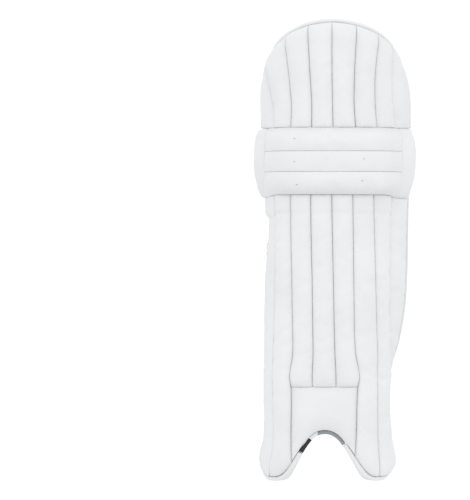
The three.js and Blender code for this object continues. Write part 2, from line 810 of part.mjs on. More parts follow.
for (const strap of STRAPS) {
  const { name, z, width, wrap } = strap;
  const low = z - width / 2;
  const high = z + width / 2;
  const outer = name === "knee" ? FLAP_OUT : edgeOut(z);
  const inner = name === "knee" ? -FLAP_IN : edgeIn(z);

  // Tab: sewn along the inside of the outer edge, then turned in and looped round the ring.
  const seat = plan(outer - 12, z, -7);
  const lip = plan(outer - 1, z, -7);
  const along = lip.clone().sub(seat).normalize();
  const inward = new THREE.Vector2(-1, 0.12).normalize();
  const swing = along.angleTo(inward);
  const lipTurn = turnLeft(lip.clone().addScaledVector(leftOf(along), 5), 5, along, swing, 5);
  const leave = lipTurn[lipTurn.length - 1].clone().addScaledVector(inward, 2);
  const outerBar = leave.clone().addScaledVector(leftOf(inward), LOOP);
  const tabLoop = turnLeft(outerBar, LOOP, inward, Math.PI, 6);
  const tabEnd = tabLoop[tabLoop.length - 1].clone().addScaledVector(inward, -2.5);
  piece(`${name}_ring_tab`, webbing([seat, ...lipTurn, ...tabLoop, tabEnd], WEBBING, low, high), COLOURS.webbing);

  // Ring: two upright bars joined at the ends.
  const innerBar = outerBar.clone().addScaledVector(inward, RING_BAR);
  const wire = RING_WIRE / 2;
  const frameCorners = [
    [outerBar, low - RING_SPARE, 1, -1],
    [innerBar, low - RING_SPARE, -1, -1],
    [innerBar, high + RING_SPARE, -1, 1],
    [outerBar, high + RING_SPARE, 1, 1],
  ];
  const ringRings = frameCorners.map(([bar, height, out, up]) =>
    [
      [1, 1],
      [1, -1],
      [-1, -1],
      [-1, 1],
    ].map(([far, side]) => {
      const spot = bar.clone().addScaledVector(inward, -out * far * wire);
      spot.addScaledVector(leftOf(inward), side * wire);
      return new THREE.Vector3(spot.x, spot.y, height + up * far * wire);
    }),
  );
  piece(`${name}_strap_ring`, sweep(ringRings, true), COLOURS.ring);

  // Strap: sewn on the inner side's outer face, round that edge, across, round the ring and back.
  const hub = plan(inner + 2, z, 0);
  const outside = plan(inner + 2, z, 1).sub(hub);
  const backward = plan(inner, z, 0).sub(plan(inner + 10, z, 0)).normalize();
  const sewn = hub.clone().addScaledVector(outside, wrap).addScaledVector(backward, -WRAP_LENGTH);
  const fold = [];
  for (let k = 0; k <= 5; k += 1) {
    const angle = (k / 5) * (Math.PI / 2);
    fold.push(
      hub.clone().addScaledVector(outside, wrap * Math.cos(angle)).addScaledVector(backward, wrap * Math.sin(angle)),
    );
  }
  const barTurn = turnLeft(innerBar, LOOP, inward.clone().negate(), Math.PI, 6);
  const from = fold[fold.length - 1];
  const to = barTurn[0];
  const across = to.clone().sub(from);
  const aside = leftOf(across.clone().normalize());
  const spot = (share, lift) =>
    from.clone().addScaledVector(across, share).addScaledVector(aside, STRAP_BOW * 4 * share * (1 - share) + lift);
  const run = [0.12, 0.3, 0.5, 0.7, 0.86, 0.95].map((share) => spot(share, 0));
  const reach = across.length();
  const tail = [16, 36, TAIL].map((length) => spot(1 - length / reach, WEBBING + 0.45));
  const path = [sewn, ...fold, ...run, ...barTurn, ...tail];
  piece(`${name}_strap`, webbing(path, WEBBING, low, high), COLOURS.webbing);

  // Patch over the ankle strap where it folds round the inner edge.
  if (name === "ankle") {
    const lift = wrap + WEBBING / 2 + 0.4 + 0.8;
    const cover = [hub.clone().addScaledVector(outside, lift).addScaledVector(backward, -WRAP_LENGTH)];
    for (let k = 0; k <= 5; k += 1) {
      const angle = (k / 5) * (Math.PI / 2);
      cover.push(
        hub.clone().addScaledVector(outside, lift * Math.cos(angle)).addScaledVector(backward, lift * Math.sin(angle)),
      );
    }
    cover.push(spot(0.06, WEBBING / 2 + 1.2));
    piece("ankle_anchor_patch", webbing(cover, 1.6, low - 2, high + 2), COLOURS.cover);
  }
}

export default pad;
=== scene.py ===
# Cricket batting pad, standing on its two foot lobes: covers, linings, webbing and stitches.
import math

import bpy
import numpy as np
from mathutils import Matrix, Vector, noise


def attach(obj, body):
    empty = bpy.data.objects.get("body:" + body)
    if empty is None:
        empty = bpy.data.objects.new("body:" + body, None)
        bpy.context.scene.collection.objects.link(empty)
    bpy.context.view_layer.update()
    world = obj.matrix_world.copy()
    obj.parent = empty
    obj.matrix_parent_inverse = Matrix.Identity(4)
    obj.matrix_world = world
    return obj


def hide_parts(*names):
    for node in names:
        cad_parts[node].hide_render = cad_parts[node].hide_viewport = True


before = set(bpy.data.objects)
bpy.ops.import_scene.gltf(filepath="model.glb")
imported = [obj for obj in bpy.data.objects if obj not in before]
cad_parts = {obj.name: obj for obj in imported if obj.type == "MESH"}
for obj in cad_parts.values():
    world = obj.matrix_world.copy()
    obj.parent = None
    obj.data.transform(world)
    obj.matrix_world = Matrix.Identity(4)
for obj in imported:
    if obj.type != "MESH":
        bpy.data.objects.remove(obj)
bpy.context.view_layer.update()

# Sizes are millimetres, and a mesh is turned into metres when it is made.
# s runs along the bent sheet from its mid line, positive to the outer side of the leg.
# z is the height. t is the height off the sheet, positive to the front, negative to the leg.
MM = 0.001
TIGHT = 30  # radius of the tighter bend into the sides
GAP = 0.6  # space left on each side of the sheet
SEAM = 0.07  # half the space left at a seam
EDGE_ROW = 0.5  # from a panel's shown edge to the row of points round its side
EDGE_SHARE = 0.12  # most that this may be of the side's depth

# One row a height: x of the mid line, y of the flat middle, half width of the flat, radius of the
# wide bend, sheet width to the tighter bend, then degrees turned and sheet width to each edge.
SECTION_COLUMNS = ("z", "axis", "face", "flat", "bend", "side", "turn_in", "edge_in", "turn_out", "edge_out")
SECTIONS = (
    (0, -15, -33, 30, 80, 114, 60, 124, 56, 125),
    (34, -15.5, -32, 30, 76, 110, 64, 127, 54, 131),
    (70, -16, -31, 30, 70, 95, 84, 132, 70, 127.5),
    (152, -18.5, -28, 30, 64, 92, 94, 138, 65, 131.5),
    (226, -15.5, -26, 28, 71, 95, 95, 143, 54, 149.5),
    (300, -11.5, -26, 26, 78, 98, 95, 147, 52, 157),
    (440, -8, -27, 24, 82, 98, 95, 151, 54, 159.5),
    (513, -5.5, -28, 30, 90, 108, 80, 151, 58, 159),
    (580, -4.5, -28, 24, 84, 99, 60, 144, 54, 157),
    (740, -4, -23, 24, 86, 104, 59, 144, 54, 157),
)
TABLE = {name: np.array(values, float) for name, values in zip(SECTION_COLUMNS, zip(*SECTIONS))}

# Heights and outline
CROWN_TOP = 740
CROWN_SPRING = 600
CROWN_IN = 144
CROWN_OUT = 158.5
CROWN_ACROSS_IN = 2.05  # powers of the crown's curve; 2 and 2 are an ellipse
CROWN_ACROSS_OUT = 1.9
CROWN_UP = 1.75
KNEE_TOP = 565.5
KNEE_LOW = 458
KNEE_SAG = 5  # the knee's lower edge hangs lower at its ends, from a place and over a width
SAG_SPAN = (80, 32)
INSTEP_TOP = 150.5
ARCH_TOP = 75
ARCH_FOOT = 72
ARCH_POWER = 1.17  # 1 is a plain cosine
LOBE_CORNER = 54  # where a lobe's round meets the side, on the inner and outer side of the leg
LOBE_CORNER_OUT = 32
LOBE_END = 82
LOBE_ROUND = 26  # least radius of a foot lobe's lower edge
LOBE_REACH = 123  # the lobes' tape follows the lower edge from here in
SHEET_REACH = 160  # half width over which heights of an edge are kept
FOOT_REACH = 127  # half width of the lower edge before it is rounded
ROUND_REACH = 110  # half width over which the middles of its rounds lie
BAND = 6  # width of the edge binding
MID = BAND / 2
RIM = BAND + 0.1  # panels stop here, in from the outline
ARCH_RIM = RIM + 0.5  # and here at the arch

# Thicknesses off the sheet
CANE = 22
CANE_SIDE = 18
CANE_OUTER = 16
CANE_END = 8
RIM_THICK = 4.5
SIDE = 3.5
INSTEP = 14.5
INSTEP_SEAM = 13

# Swell of a stuffed panel across its width, two powers: steep at the seams and flat on top, or light
FULL = (4, 0.55)
LIGHT = (2.5, 0.58)
# Ends of the stuffed panels: length, radius of the lower and the upper end, share of its height at each
ENDS = {
    "crown": (160, 8, 26, 0.9, 0),
    "flap": (KNEE_TOP - KNEE_LOW, 16, 16, 0.45, 0.45),
    "shin": (KNEE_LOW, 20, 10, 0.15, 0.75),
    "shin_middle": (KNEE_LOW - INSTEP_TOP, 20, 10, 0.5, 0.75),
    "instep": (75, 12, 6, 0.4, 1),
    "thigh": (150, 10, 16, 0, 0),
    "cushion": (KNEE_TOP - KNEE_LOW, 22, 14, 0, 0),
    "bolster": (370, 30, 14, 0, 0),
    "facing": (16, 3, 3, 0, 0),
    "ribbed": (410, 10, 10, 0, 0),
}
# How tightly the panels are stuffed, from slack, 0, to tight, 1
ROLL_FILL = 0.9
BOLSTER_FILL = 0.85
CUSHION_FILL = 0.8
SIDE_FILL = 0.6
FLAT_FILL = 0.5
FACING_FILL = 0.4

# Seams: places along the sheet at each height, and the height of the cover off the sheet at the seam
CROWN_HEIGHTS = (567, 600, 650, 720)
CROWN_SEAMS = (
    ((-90.5, -93.5, -108, -128), 10),
    ((-60.5, -59.7, -64.1, -72.5), 15),
    ((-31.5, -31.2, -33.6, -37.2), 17.5),
    ((1.5, 0.5, -0.6, -0.8), 18),
    ((35.3, 33, 33.3, 36.5), 17.5),
    ((65.8, 63.2, 62.9, 70.5), 15),
    ((102, 97, 94.5, 97), 10),
)
CROWN_CRESTS = (CANE_SIDE, CANE, CANE, CANE, CANE, CANE_SIDE)
SHIN_HEIGHTS = (0, 70, 140, 170, 205, 300, 458)
SHIN_SEAMS = (
    ((-90, -79, -77.8, -78.5, -79.5, -82, -86), 11),
    ((-51, -50.9, -48, -49.7, -46.8, -52.3, -58), 16.5),
    ((-17, -17, -17.5, -18.2, -18.5, -24.7, -30.2), 18),
    ((20, 20, 20.2, 19.6, 16.4, 9.3, 2.2), 18),
    ((43, 47, 50.4, 52, 45.4, 39.1, 34), 17),
    ((83.5, 79.5, 82, 81, 79.7, 72, 64.3), 14),
)
SHIN_CRESTS = (CANE_SIDE, CANE, CANE, CANE, CANE_SIDE, CANE_OUTER)
SHIN_MIDDLE = (1, 2, 3)  # which of these bolsters end at the instep panel
WING_LOW = 166
WING_HEIGHTS = (WING_LOW, 230, 300, 458)
WING_SEAM = (127.5, 111, 103, 100)
WING_RISE = 9
WING_LEAST = 0.4  # least width of the wing

# Knee rolls
ROLL = 41
ROLL_SEAM = 39.2
ROLL_SEAM_OUT = 40.5  # shallower seams on the outer side, from a place and over a width
SHALLOW_SPAN = (30, 60)
ROLL_EDGE = 20  # at the top of the upper roll and the bottom of the lower one
ROLL_ROUND = 17  # from that edge to the roll's full height
ROLL_POWER = 2.4
ROLL_FROM = -108  # ends of the rolls, where the flaps are sewn on
ROLL_TO = 112
ROLL_TAPER = 62
ROLL_SEAMS = (KNEE_LOW, 494.5, 527.5, KNEE_TOP)
ROLL_CELL = 3.2
# Places where a thread pulls the rolls in
TUFTS = ((-49, 547), (-49.5, 510), (-45, 473.5), (45.5, 514.5), (43.5, 479.5))
TUFT_DEPTH = 2.5
TUFT_WIDTH = 5
TUFT_FLAT = 1.2  # wider than high

# Knee flaps
FLAP = 18
FLAP_IN = 162
FLAP_OUT = 170
FLAP_SLOPE = 0.55  # share of its width in which a flap rises to its height
FLAP_DIP_IN = 0.45  # share of its height that a flap loses at its seam with the rolls
FLAP_DIP_OUT = 0.2
FLAP_DIP_POWER = 6
# Corners of a flap: how much narrower it gets, from what height and over what height
FLAP_LOW = (11.5, 492, 34)
FLAP_HIGH = (12, 538, 29)

# Shin's inner side: a pouch at its top, drawn in under it, and a crease that runs on across the shin
SIDE_POUCH = 2  # fullness in the pouch and below it
SIDE_INNER = 0.3
POUCH_LOW = 424
POUCH_STEP = 4
DRAWN_IN = 4.5
DRAWN_OVER = 120
DRAWN_SHARE = 0.3
CREASE_DEPTH = 1.5
CREASE_WIDTH = 3.5

# Leg side
THIGH = 13
KNEE_CUSHION = 21
CALF_BOLSTER = 19
CALF_LINING = 9
FACING = 8
LINING_RIM = 4
LINING_IN = 128
LINING_OUT = 138
LINING_BORDER = BAND + 7  # least distance of the calf linings from the outline
LINING_LOW = 30  # above the lobes, reached from the arch in a short slope
LOW_SPAN = (52, 14)
FACING_NEAR = 58  # facing of a foot lobe, from the arch to the side
FACING_FAR = 112
CUSHION_EDGES = (-140, 146)
CUSHION_IN = (-56, -66)  # inner seam of the middle cushion, low and high
CUSHION_OUT = (30, 35)
BOLSTER_IN = -43
BOLSTER_OUT = 29

# Ribs of the calf linings, with their slope and bend from where they start at the middle bolster
RIB_PITCH = 5.1
RIB_HEIGHT = 0.9
RIB_POWER = 0.7
RIB_START_OUT = 30  # on the outer side; on the inner side they start at the seam
RIB_OUTER = (0.05, 0.0009)
RIB_INNER = (0.47, -0.0019)
RIBS_LOW = 96
RIBS_HIGH_IN = 385
RIBS_HIGH_OUT = 425
RIBS_FADE = 40
RIBS_FROM_EDGE = 5
RIB_CELLS = (2, 1)
RIB_GATHER = (0.4, 0)

# Bare sewn label
LABEL = (84, 130, 478, 545)  # from, to, low, high
LABEL_POINTS = (23, 34)
LABEL_THICK = 0.8
LABEL_LIFT = 1
LABEL_CURL = 0.5
LABEL_CURL_WIDTH = 4
LABEL_INSET = 2.5  # from its edge to its stitches

# Edge tape, and the places where its lengths on the arch end, each a small space short of the next
TAPE_ROUND = 2.6  # radius of its outer corners
TAPE_FOLD = 0.8  # and of its inner ones
TAPE_STITCH = 1.3  # from its inner edge to its stitches
TAPE_STEP = 2
TAPE_WAVE = 0.22
TAPE_WAVE_SIZE = 12
ARCH_OUTER = 30
ARCH_GREY = -11.5
ARCH_WHITE = -22.5
ARCH_BLACK = -38
JOIN = 1
TAPE_CLEAR = 0.8  # between a side's tape and a lobe's
# Back and front of the tape off the sheet
SIDE_TAPE = (-4, 5)
ARCH_TAPE = (-6, 11)
LOBE_TAPE = (-12, 13)
CROWN_TAPE = (-4, 7.2)
CROWN_TAPE_SIDE = 4.8  # thinner down the sides
CROWN_TAPE_SPAN = (90, 35)
LOBE_BLEND = 30  # width over which a lobe's tape thins to its neighbours'

# Straps: name, middle height, width, distance from the middle of the edge they fold round,
# and how far in from the outer edge the tab of the ring is sewn
STRAPS = (("knee", 513, 34, 8.4, 0), ("calf", 351, 60, 7.9, 0), ("ankle", 149, 55, 7.3, 6))
WEBBING = 2.4
WEBBING_STEP = 1.6
SELVEDGE = 0.25  # half thickness at the edges of the webbing
WAVER = 0.35
WAVER_SIZE = 45
WRAP_LENGTH = 1.5
WRAP_IN = 2  # from the inner edge to the middle of the fold
EDGE_STEP = 10  # length of the sheet that gives its way at the edge
STRAP_BOW = 6
STRAP_RUN = (0.04, 0.97)  # shares of the way across between which the strap runs free
STRAP_STITCH = 0.07  # share of the way across to a row of stitches
TAIL = 62  # the strap's end lies on it between these distances from the ring
TAIL_FROM = 16
TAIL_ROWS = (4, 8)  # rows of stitches, from its end
TAIL_LIFT = WEBBING + 0.45
TAB_OFF = 7  # off the sheet to the leg
TAB_SLOPE = 0.25  # further off the sheet where the tab is sewn further in
TAB_FROM = 12  # the tab lies flat along the edge between these
TAB_TO = 1
TAB_TURN = 5  # radius of its turn inward
TAB_RUN = 2  # from there to its loop round the ring
TAB_END = 2.5  # back along itself
TAB_WAY = -1 + 0.12j  # the way it points, seen from above
LOOP = 3.8  # radius of the webbing round a bar of the ring
RING_WIRE = 3
RING_BAR = 11.5  # from bar to bar
RING_SPARE = 3  # taller than the webbing at each end
RING_CORNER = 2.4
PATCH = 1.6
PATCH_OVER = 2  # the patch is wider than the strap
PATCH_CLEAR = 0.4
PATCH_END = 0.06  # share of the way across

# Cloth: size of a mesh cell, how far cells gather at the seams, and how the covers are inflated
CELL = 4
LEAST_CELLS = 6
GATHER = (0.75, 0.75)
END_SHARE = 0.0005  # the height at an end is read this far inside it
SIM_FRAMES = 20
MOST_MOVE = 6
FIRM = 0.35  # share of that on the shin's firm inner side
CLOTH = {
    "vertex_group_mass": "held",
    "mass": 0.02,
    "tension_stiffness": 20,
    "compression_stiffness": 4,
    "shear_stiffness": 4,
    "bending_stiffness": 0.4,
    "use_pressure": True,
    "uniform_pressure_force": 300,
    "shrink_min": -0.03,
}
# Unevenness: height, size and reach from the seams of the broad waves and of the puckers
BROAD = (0.45, 34, 9)
PUCKER = (0.55, 7, 6)
PUCKER_START = 1.5
RIBBED_WAVE = (0.3, 30)
# How dark the painted shade is at seams and on hidden sides, from 0 to 1, and how wide
FAINT_SHADE = 0.15  # seams on the knee and the lobes, and the ends of the panels
FADED_SHADE = 0.3  # seams at the crown's rim, edges of the tape, and sides of the ribbed linings
FADED_SPAN = (4, 20)  # below the crown's rim
HIDDEN_SIDE_SHADE = 0.6  # sides and backs of the other panels
PAINTED_SHADE_WIDTH = 0.8  # width
# Painted shade in the rib grooves, and along the ribbed linings' edges with its width
RIB_GROOVE_SHADE = 0.55
RIB_EDGE_SHADE = 0.6
RIB_EDGE_SHADE_WIDTH = 1.2

# Stitches: pitch and length
TAPE_STITCHES = (4.2, 3.0)
STRAP_STITCHES = (3.0, 2.2)
TUFT_STITCHES = (4.0, 3.4)
STITCH_INSET = 2.5  # from the edges of the webbing
# One stitch: share of its length, lift off the cloth and share of the thread's radius at each point
STITCH_SHAPE = ((0, -0.35, 0.6), (0.15, 0.1, 0.95), (0.5, 0.22, 1), (0.85, 0.1, 0.95), (1, -0.35, 0.6))
THREAD = 0.38

# Camera: the photograph is 470 by 500 pixels, and the pad stands right of its middle
PIXEL = 1.605
IMAGE_LONG = 500
LENS = 320
SENSOR = 36
PAD_SHIFT = 100  # pixels from the image's middle to the pad's
CAMERA_HEIGHT = 369.4
CAMERA_BACK = 10  # in front of the pad's middle, where a pixel has its size

# Stage in metres: the bowl's flat floor, its curl and its wall, and two lamps, their power in watts
BOWL_FLAT = 9.0
BOWL_CURL = 3.0
BOWL_WALL = 8.0
BOWL_GLOW = 0.88
LAMPS = (("key", (0.4, -2.8, 2.0), 8), ("back_key", (-0.4, 2.8, 2.0), 13))
LAMP_SIZE = 1.6
LAMP_AIM = (0, 0, 0.37)
# Brightness of the sky from straight down to straight up
SKY = ((0.0, (0.84, 0.84, 0.84)), (0.5, (0.99, 0.99, 0.99)), (1.0, (1.02, 1.02, 1.02)))


# Blending and lines


def mix(a, b, share):
    return a + (b - a) * share


def ease(share):
    x = np.clip(share, 0, 1)
    return x * x * (3 - 2 * x)


def slope(x, start, over):
    """Smooth rise from 0 at the start to 1."""
    return ease((x - start) / over)


def smooth_noise(points, size):
    """Smooth noise, about -1 to 1, at each point, with bumps of that size."""
    flat = (points.reshape(-1, 3) / size).tolist()
    return np.array([noise.noise(place) for place in flat]).reshape(points.shape[:-1])


def curve(heights, values, z):
    """Smooth curve through values at heights."""
    heights = np.asarray(heights, float)
    values = np.asarray(values, float)
    last = len(heights) - 1
    z = np.clip(z, heights[0], heights[-1])
    k = np.clip(np.searchsorted(heights, z, side="left") - 1, 0, last - 1)
    low = np.maximum(np.arange(last + 1) - 1, 0)
    high = np.minimum(np.arange(last + 1) + 1, last)
    slope = (values[high] - values[low]) / (heights[high] - heights[low])
    span = heights[k + 1] - heights[k]
    h = (z - heights[k]) / span
    stay = (1 + 2 * h) * (1 - h) ** 2
    leave = h * (1 - h) ** 2 * span * slope[k]
    arrive = h * h * (h - 1) * span * slope[k + 1]
    return stay * values[k] + (1 - stay) * values[k + 1] + leave + arrive


def column(name, z):
    return curve(TABLE["z"], TABLE[name], z)


def always(value):
    return lambda where: np.full(np.shape(where), float(value))


def unit_rows(vectors):
    return vectors / np.linalg.norm(vectors, axis=-1, keepdims=True)


def lengths_along(path):
    """Length of a path from its start to each of its points."""
    return np.concatenate([[0], np.cumsum(np.linalg.norm(np.diff(path, axis=0), axis=1))])


def resample(path, step):
    """The same path with points an even step apart."""
    lengths = lengths_along(path)
    places = np.linspace(0, lengths[-1], max(round(lengths[-1] / step), 2) + 1)
    return np.stack([np.interp(places, lengths, path[:, k]) for k in range(path.shape[1])], axis=-1)


def left_of(path):
    """Unit vectors to the left of a flat path: out of an outline that runs clockwise."""
    along = unit_rows(np.gradient(path, axis=0))
    return np.stack([-along[:, 1], along[:, 0]], axis=-1)


# The bent sheet and the pad's outline on it


def sheet(s, z, t):
    s, z, t = np.broadcast_arrays(np.asarray(s, float), z, t)
    way = np.where(s < 0, -1, 1)
    reach = np.abs(s)
    flat = column("flat", z)
    bend = column("bend", z)
    turn = np.radians(np.where(s < 0, column("turn_in", z), column("turn_out", z)))
    most = np.minimum((column("side", z) - flat) / bend, turn)
    wide = np.clip((reach - flat) / bend, 0, most)
    rest = np.maximum(reach - flat - bend * wide, 0)
    angle = np.minimum(wide + rest / TIGHT, turn)
    flank = np.maximum(rest - TIGHT * (angle - wide), 0)
    across = np.minimum(reach, flat) + bend * np.sin(wide)
    across = across + TIGHT * (np.sin(angle) - np.sin(wide)) + flank * np.cos(angle)
    back = bend * (1 - np.cos(wide)) + TIGHT * (np.cos(wide) - np.cos(angle)) + flank * np.sin(angle)
    x = column("axis", z) + way * (across + t * np.sin(angle))
    y = column("face", z) + back - t * np.cos(angle)
    return np.stack([x, y, z], axis=-1)


def off_sheet(s, z):
    """Unit vector off the sheet to the front."""
    return sheet(s, z, 1) - sheet(s, z, 0)


def places_to(reach):
    """Places along the sheet, a quarter of a millimetre apart."""
    return np.linspace(-reach, reach, 8 * reach + 1)


PLACES = places_to(SHEET_REACH)


def moved_in(line, inset, way):
    """Heights, at the even places, of an edge moved square to itself up or down."""
    away = PLACES[:, None] - line[None, :, 0]
    rise = np.sqrt(np.maximum(inset**2 - away**2, 0))
    reach = np.where(np.abs(away) < inset, way * line[None, :, 1] + rise, -np.inf)
    return way * reach.max(axis=1)


def read_edge(heights, s):
    known = np.isfinite(heights)
    return np.interp(s, PLACES[known], heights[known])


def crown_outline():
    """The crown's edge from the knee on the inner side over the top to the knee on the outer side."""
    angle = np.pi * (1 - np.linspace(0, 1, 300))
    half = np.where(angle > np.pi / 2, -CROWN_IN, CROWN_OUT)
    power = np.where(angle > np.pi / 2, CROWN_ACROSS_IN, CROWN_ACROSS_OUT)
    across = np.abs(np.cos(angle)) ** (2 / power)
    up = np.abs(np.sin(angle)) ** (2 / CROWN_UP)
    arc = np.stack([half * across, CROWN_SPRING + (CROWN_TOP - CROWN_SPRING) * up], -1)
    side = np.linspace(KNEE_TOP + 1, CROWN_SPRING - 1, 20)
    inner = np.stack([always(-CROWN_IN)(side), side], -1)
    outer = np.stack([always(CROWN_OUT)(side), side[::-1]], -1)
    return np.concatenate([inner, arc, outer])


CROWN_LINE = crown_outline()
CROWN_RIM = moved_in(CROWN_LINE, RIM, -1)


def crown_rim(s):
    return read_edge(CROWN_RIM, s)


def arch_height(s):
    share = np.minimum(np.abs(s) / ARCH_FOOT, 1) ** ARCH_POWER
    return ARCH_TOP * (1 + np.cos(np.pi * share)) / 2


def foot_line(s):
    reach = np.abs(s)
    inner = np.asarray(s) < 0
    edge = np.where(inner, column("edge_in", LOBE_CORNER), column("edge_out", LOBE_CORNER_OUT))
    share = np.clip((reach - LOBE_END) / (edge - LOBE_END), 0, 1)
    lobe = np.where(inner, LOBE_CORNER, LOBE_CORNER_OUT) * (1 - np.sqrt(1 - share * share))
    return np.where(reach < ARCH_FOOT, arch_height(s), lobe)


def foot_outline():
    """The lower edge with its corners rounded: moved in by the radius, and out again."""
    places = places_to(FOOT_REACH)
    inner = moved_in(np.stack([places, foot_line(places)], -1), LOBE_ROUND, 1)
    known = np.isfinite(inner) & (np.abs(PLACES) < ROUND_REACH)
    round_line = moved_in(np.stack([PLACES[known], inner[known]], -1), LOBE_ROUND, -1)
    kept = np.isfinite(round_line)
    return np.stack([PLACES[kept], round_line[kept]], -1)


FOOT_LINE = foot_outline()
foot_edges = {}


def foot_edge(s, inset):
    """Lower edge of the pad, moved in by an inset that is measured square to the edge."""
    if inset not in foot_edges:
        foot_edges[inset] = moved_in(FOOT_LINE, inset, 1)
    return read_edge(foot_edges[inset], s)


def foot_rim(s):
    return foot_edge(s, RIM)


def arch_rim(s):
    return foot_edge(s, ARCH_RIM)


def knee_low(s):
    return KNEE_LOW - KNEE_SAG * slope(np.abs(s), *SAG_SPAN)


def edge_in(z):
    return -column("edge_in", z)


def edge_out(z):
    return column("edge_out", z)


def rim_in(z):
    return edge_in(z) + RIM


def rim_out(z):
    return edge_out(z) - RIM


def crown_seam(k):
    return lambda z: curve(CROWN_HEIGHTS, CROWN_SEAMS[k][0], z)


def shin_seam(k):
    return lambda z: curve(SHIN_HEIGHTS, SHIN_SEAMS[k][0], z)


def wing_seam(z):
    """Seam of the shin's wing, which runs out into the edge at the wing's lower end."""
    edge = rim_out(z)
    return np.where(z > WING_LOW, np.minimum(curve(WING_HEIGHTS, WING_SEAM, z), edge - WING_LEAST), edge)


# Materials


def feed(tree, made, inputs):
    """Links each socket to an input of a node, and sets each value."""
    for name, value in dict(inputs).items():
        if isinstance(value, bpy.types.NodeSocket):
            tree.links.new(value, made.inputs[name])
        else:
            made.inputs[name].default_value = value


def node(tree, kind, inputs=(), **settings):
    """The outputs of a new shader node."""
    made = tree.nodes.new("ShaderNode" + kind)
    for name, value in settings.items():
        setattr(made, name, value)
    feed(tree, made, inputs)
    return made.outputs


def ramp(tree, factor, stops, interpolation="LINEAR"):
    """Colours by a factor, one stop a place and a colour."""
    made = tree.nodes.new("ShaderNodeValToRGB")
    feed(tree, made, {"Fac": factor})
    band = made.color_ramp
    band.interpolation = interpolation
    while len(band.elements) < len(stops):
        band.elements.new(0.5)
    for element, (place, colour) in zip(band.elements, stops):
        element.position = place
        element.color = (*colour, 1)
    return made.outputs["Color"]


def blend_colour(tree, factor, first, second):
    return node(tree, "Mix", {0: factor, 6: first, 7: (*second, 1)}, data_type="RGBA")[2]


def in_frame(tree, kind, scale, **settings):
    """A texture of that scale in the pad's frame."""
    coords = node(tree, "TexCoord")["Object"]
    return node(tree, kind, {"Vector": coords, "Scale": scale}, **settings)


def speckle(tree, scale, detail):
    coords = node(tree, "TexCoord")["Object"]
    return node(tree, "TexNoise", {"Vector": coords, "Scale": scale, "Detail": detail})["Fac"]


def mark(tree, name):
    """Values that the mesh carries at its points."""
    return node(tree, "Attribute", attribute_name=name)["Fac"]


def shell(name, roughness, specular=0.4):
    """A new material, its nodes and its shader."""
    material = bpy.data.materials.new(name)
    material.use_nodes = True
    tree = material.node_tree
    shader = tree.nodes["Principled BSDF"]
    feed(tree, shader, {"Roughness": roughness, "Specular IOR Level": specular})
    return material, tree, shader


def bump(tree, layers):
    """Bump layers on top of each other: height, depth in millimetres and strength of each."""
    below = {}
    for height, depth, strength in layers:
        inputs = {"Height": height, "Distance": depth * MM, "Strength": strength}
        below = {"Normal": node(tree, "Bump", inputs | below)["Normal"]}
    return below["Normal"]


def leather(name, colour, shade, painted_shade, roughness, grain):
    """Grained synthetic leather, a little uneven in tone, and darker where shade is painted at its seams and
    on its hidden sides.
    """
    material, tree, shader = shell(name, roughness)
    even = ramp(tree, speckle(tree, 16.0, 4.0), ((0.32, shade), (0.66, colour)))
    pores = in_frame(tree, "TexVoronoi", grain)["Distance"]
    folds = speckle(tree, grain / 5, 3.0)
    gloss = {"Value": folds, "To Min": roughness - 0.06, "To Max": roughness + 0.08}
    surface = {
        # Painted shade: its colour is mixed in as far as the mesh marks each point dark
        "Base Color": blend_colour(tree, mark(tree, "painted_shade"), even, painted_shade),
        "Normal": bump(tree, ((folds, 0.5, 0.25), (pores, 0.15, 0.3))),
        "Roughness": node(tree, "MapRange", gloss)["Result"],
    }
    feed(tree, shader, surface)
    return material


def ribbed_fabric():
    """Knitted lining whose ribs are in the mesh, with a fine knit; shade is painted in the grooves, along
    the edges and on the hidden sides.
    """
    material, tree, shader = shell("ribbed_fabric", 0.85, 0.2)
    even = ramp(tree, speckle(tree, 30.0, 4.0), ((0.3, (0.79, 0.79, 0.76)), (0.7, (0.86, 0.86, 0.83))))
    knit = in_frame(tree, "TexVoronoi", 900.0)["Distance"]
    surface = {
        # Painted shade: its colour is mixed in as far as the mesh marks each point dark
        "Base Color": blend_colour(tree, mark(tree, "painted_shade"), even, (0.50, 0.50, 0.46)),
        "Normal": bump(tree, ((knit, 0.4, 0.5),)),
        "Sheen Weight": 0.15,
    }
    feed(tree, shader, surface)
    return material


def weave(tree, thread):
    """Height of a plain weave on the piece's own map, with threads of that width in millimetres."""
    own = node(tree, "UVMap", uv_map="weave")["UV"]
    scale = 0.314 / (2 * thread * MM)  # a wave texture of scale 1 has bands 0.314 apart
    warp = node(tree, "TexWave", {"Vector": own, "Scale": scale}, bands_direction="X")["Fac"]
    weft = node(tree, "TexWave", {"Vector": own, "Scale": scale}, bands_direction="Y")["Fac"]
    return node(tree, "Math", {0: warp, 1: weft}, operation="MULTIPLY")[0]


# Stripes of the webbing from its upper edge down: share of the width where each starts, and colour
STRIPES = (
    (0.0, (0.83, 0.83, 0.86)),
    (0.26, (0.012, 0.012, 0.013)),
    (0.39, (0.80, 0.80, 0.82)),
    (0.44, (0.37, 0.38, 0.325)),
    (0.61, (0.56, 0.57, 0.515)),
    (0.76, (0.83, 0.83, 0.86)),
)


def striped_webbing():
    material, tree, shader = shell("striped_webbing", 0.75, 0.25)
    stripes = ramp(tree, mark(tree, "across"), STRIPES, "CONSTANT")
    threads = weave(tree, 0.7)
    tone = node(tree, "MapRange", {"Value": threads, "To Min": 0.0, "To Max": 0.12})["Result"]
    surface = {
        "Base Color": blend_colour(tree, tone, stripes, (0.25, 0.25, 0.25)),
        "Normal": bump(tree, ((threads, 0.35, 0.6),)),
        "Sheen Weight": 0.2,
    }
    feed(tree, shader, surface)
    return material


def label_cloth():
    material, tree, shader = shell("label_cloth", 0.6, 0.3)
    threads = weave(tree, 0.4)
    colour = ramp(tree, threads, ((0.0, (0.92, 0.92, 0.92)), (1.0, (0.84, 0.84, 0.85))))
    feed(tree, shader, {"Base Color": colour, "Normal": bump(tree, ((threads, 0.35, 0.6),))})
    return material


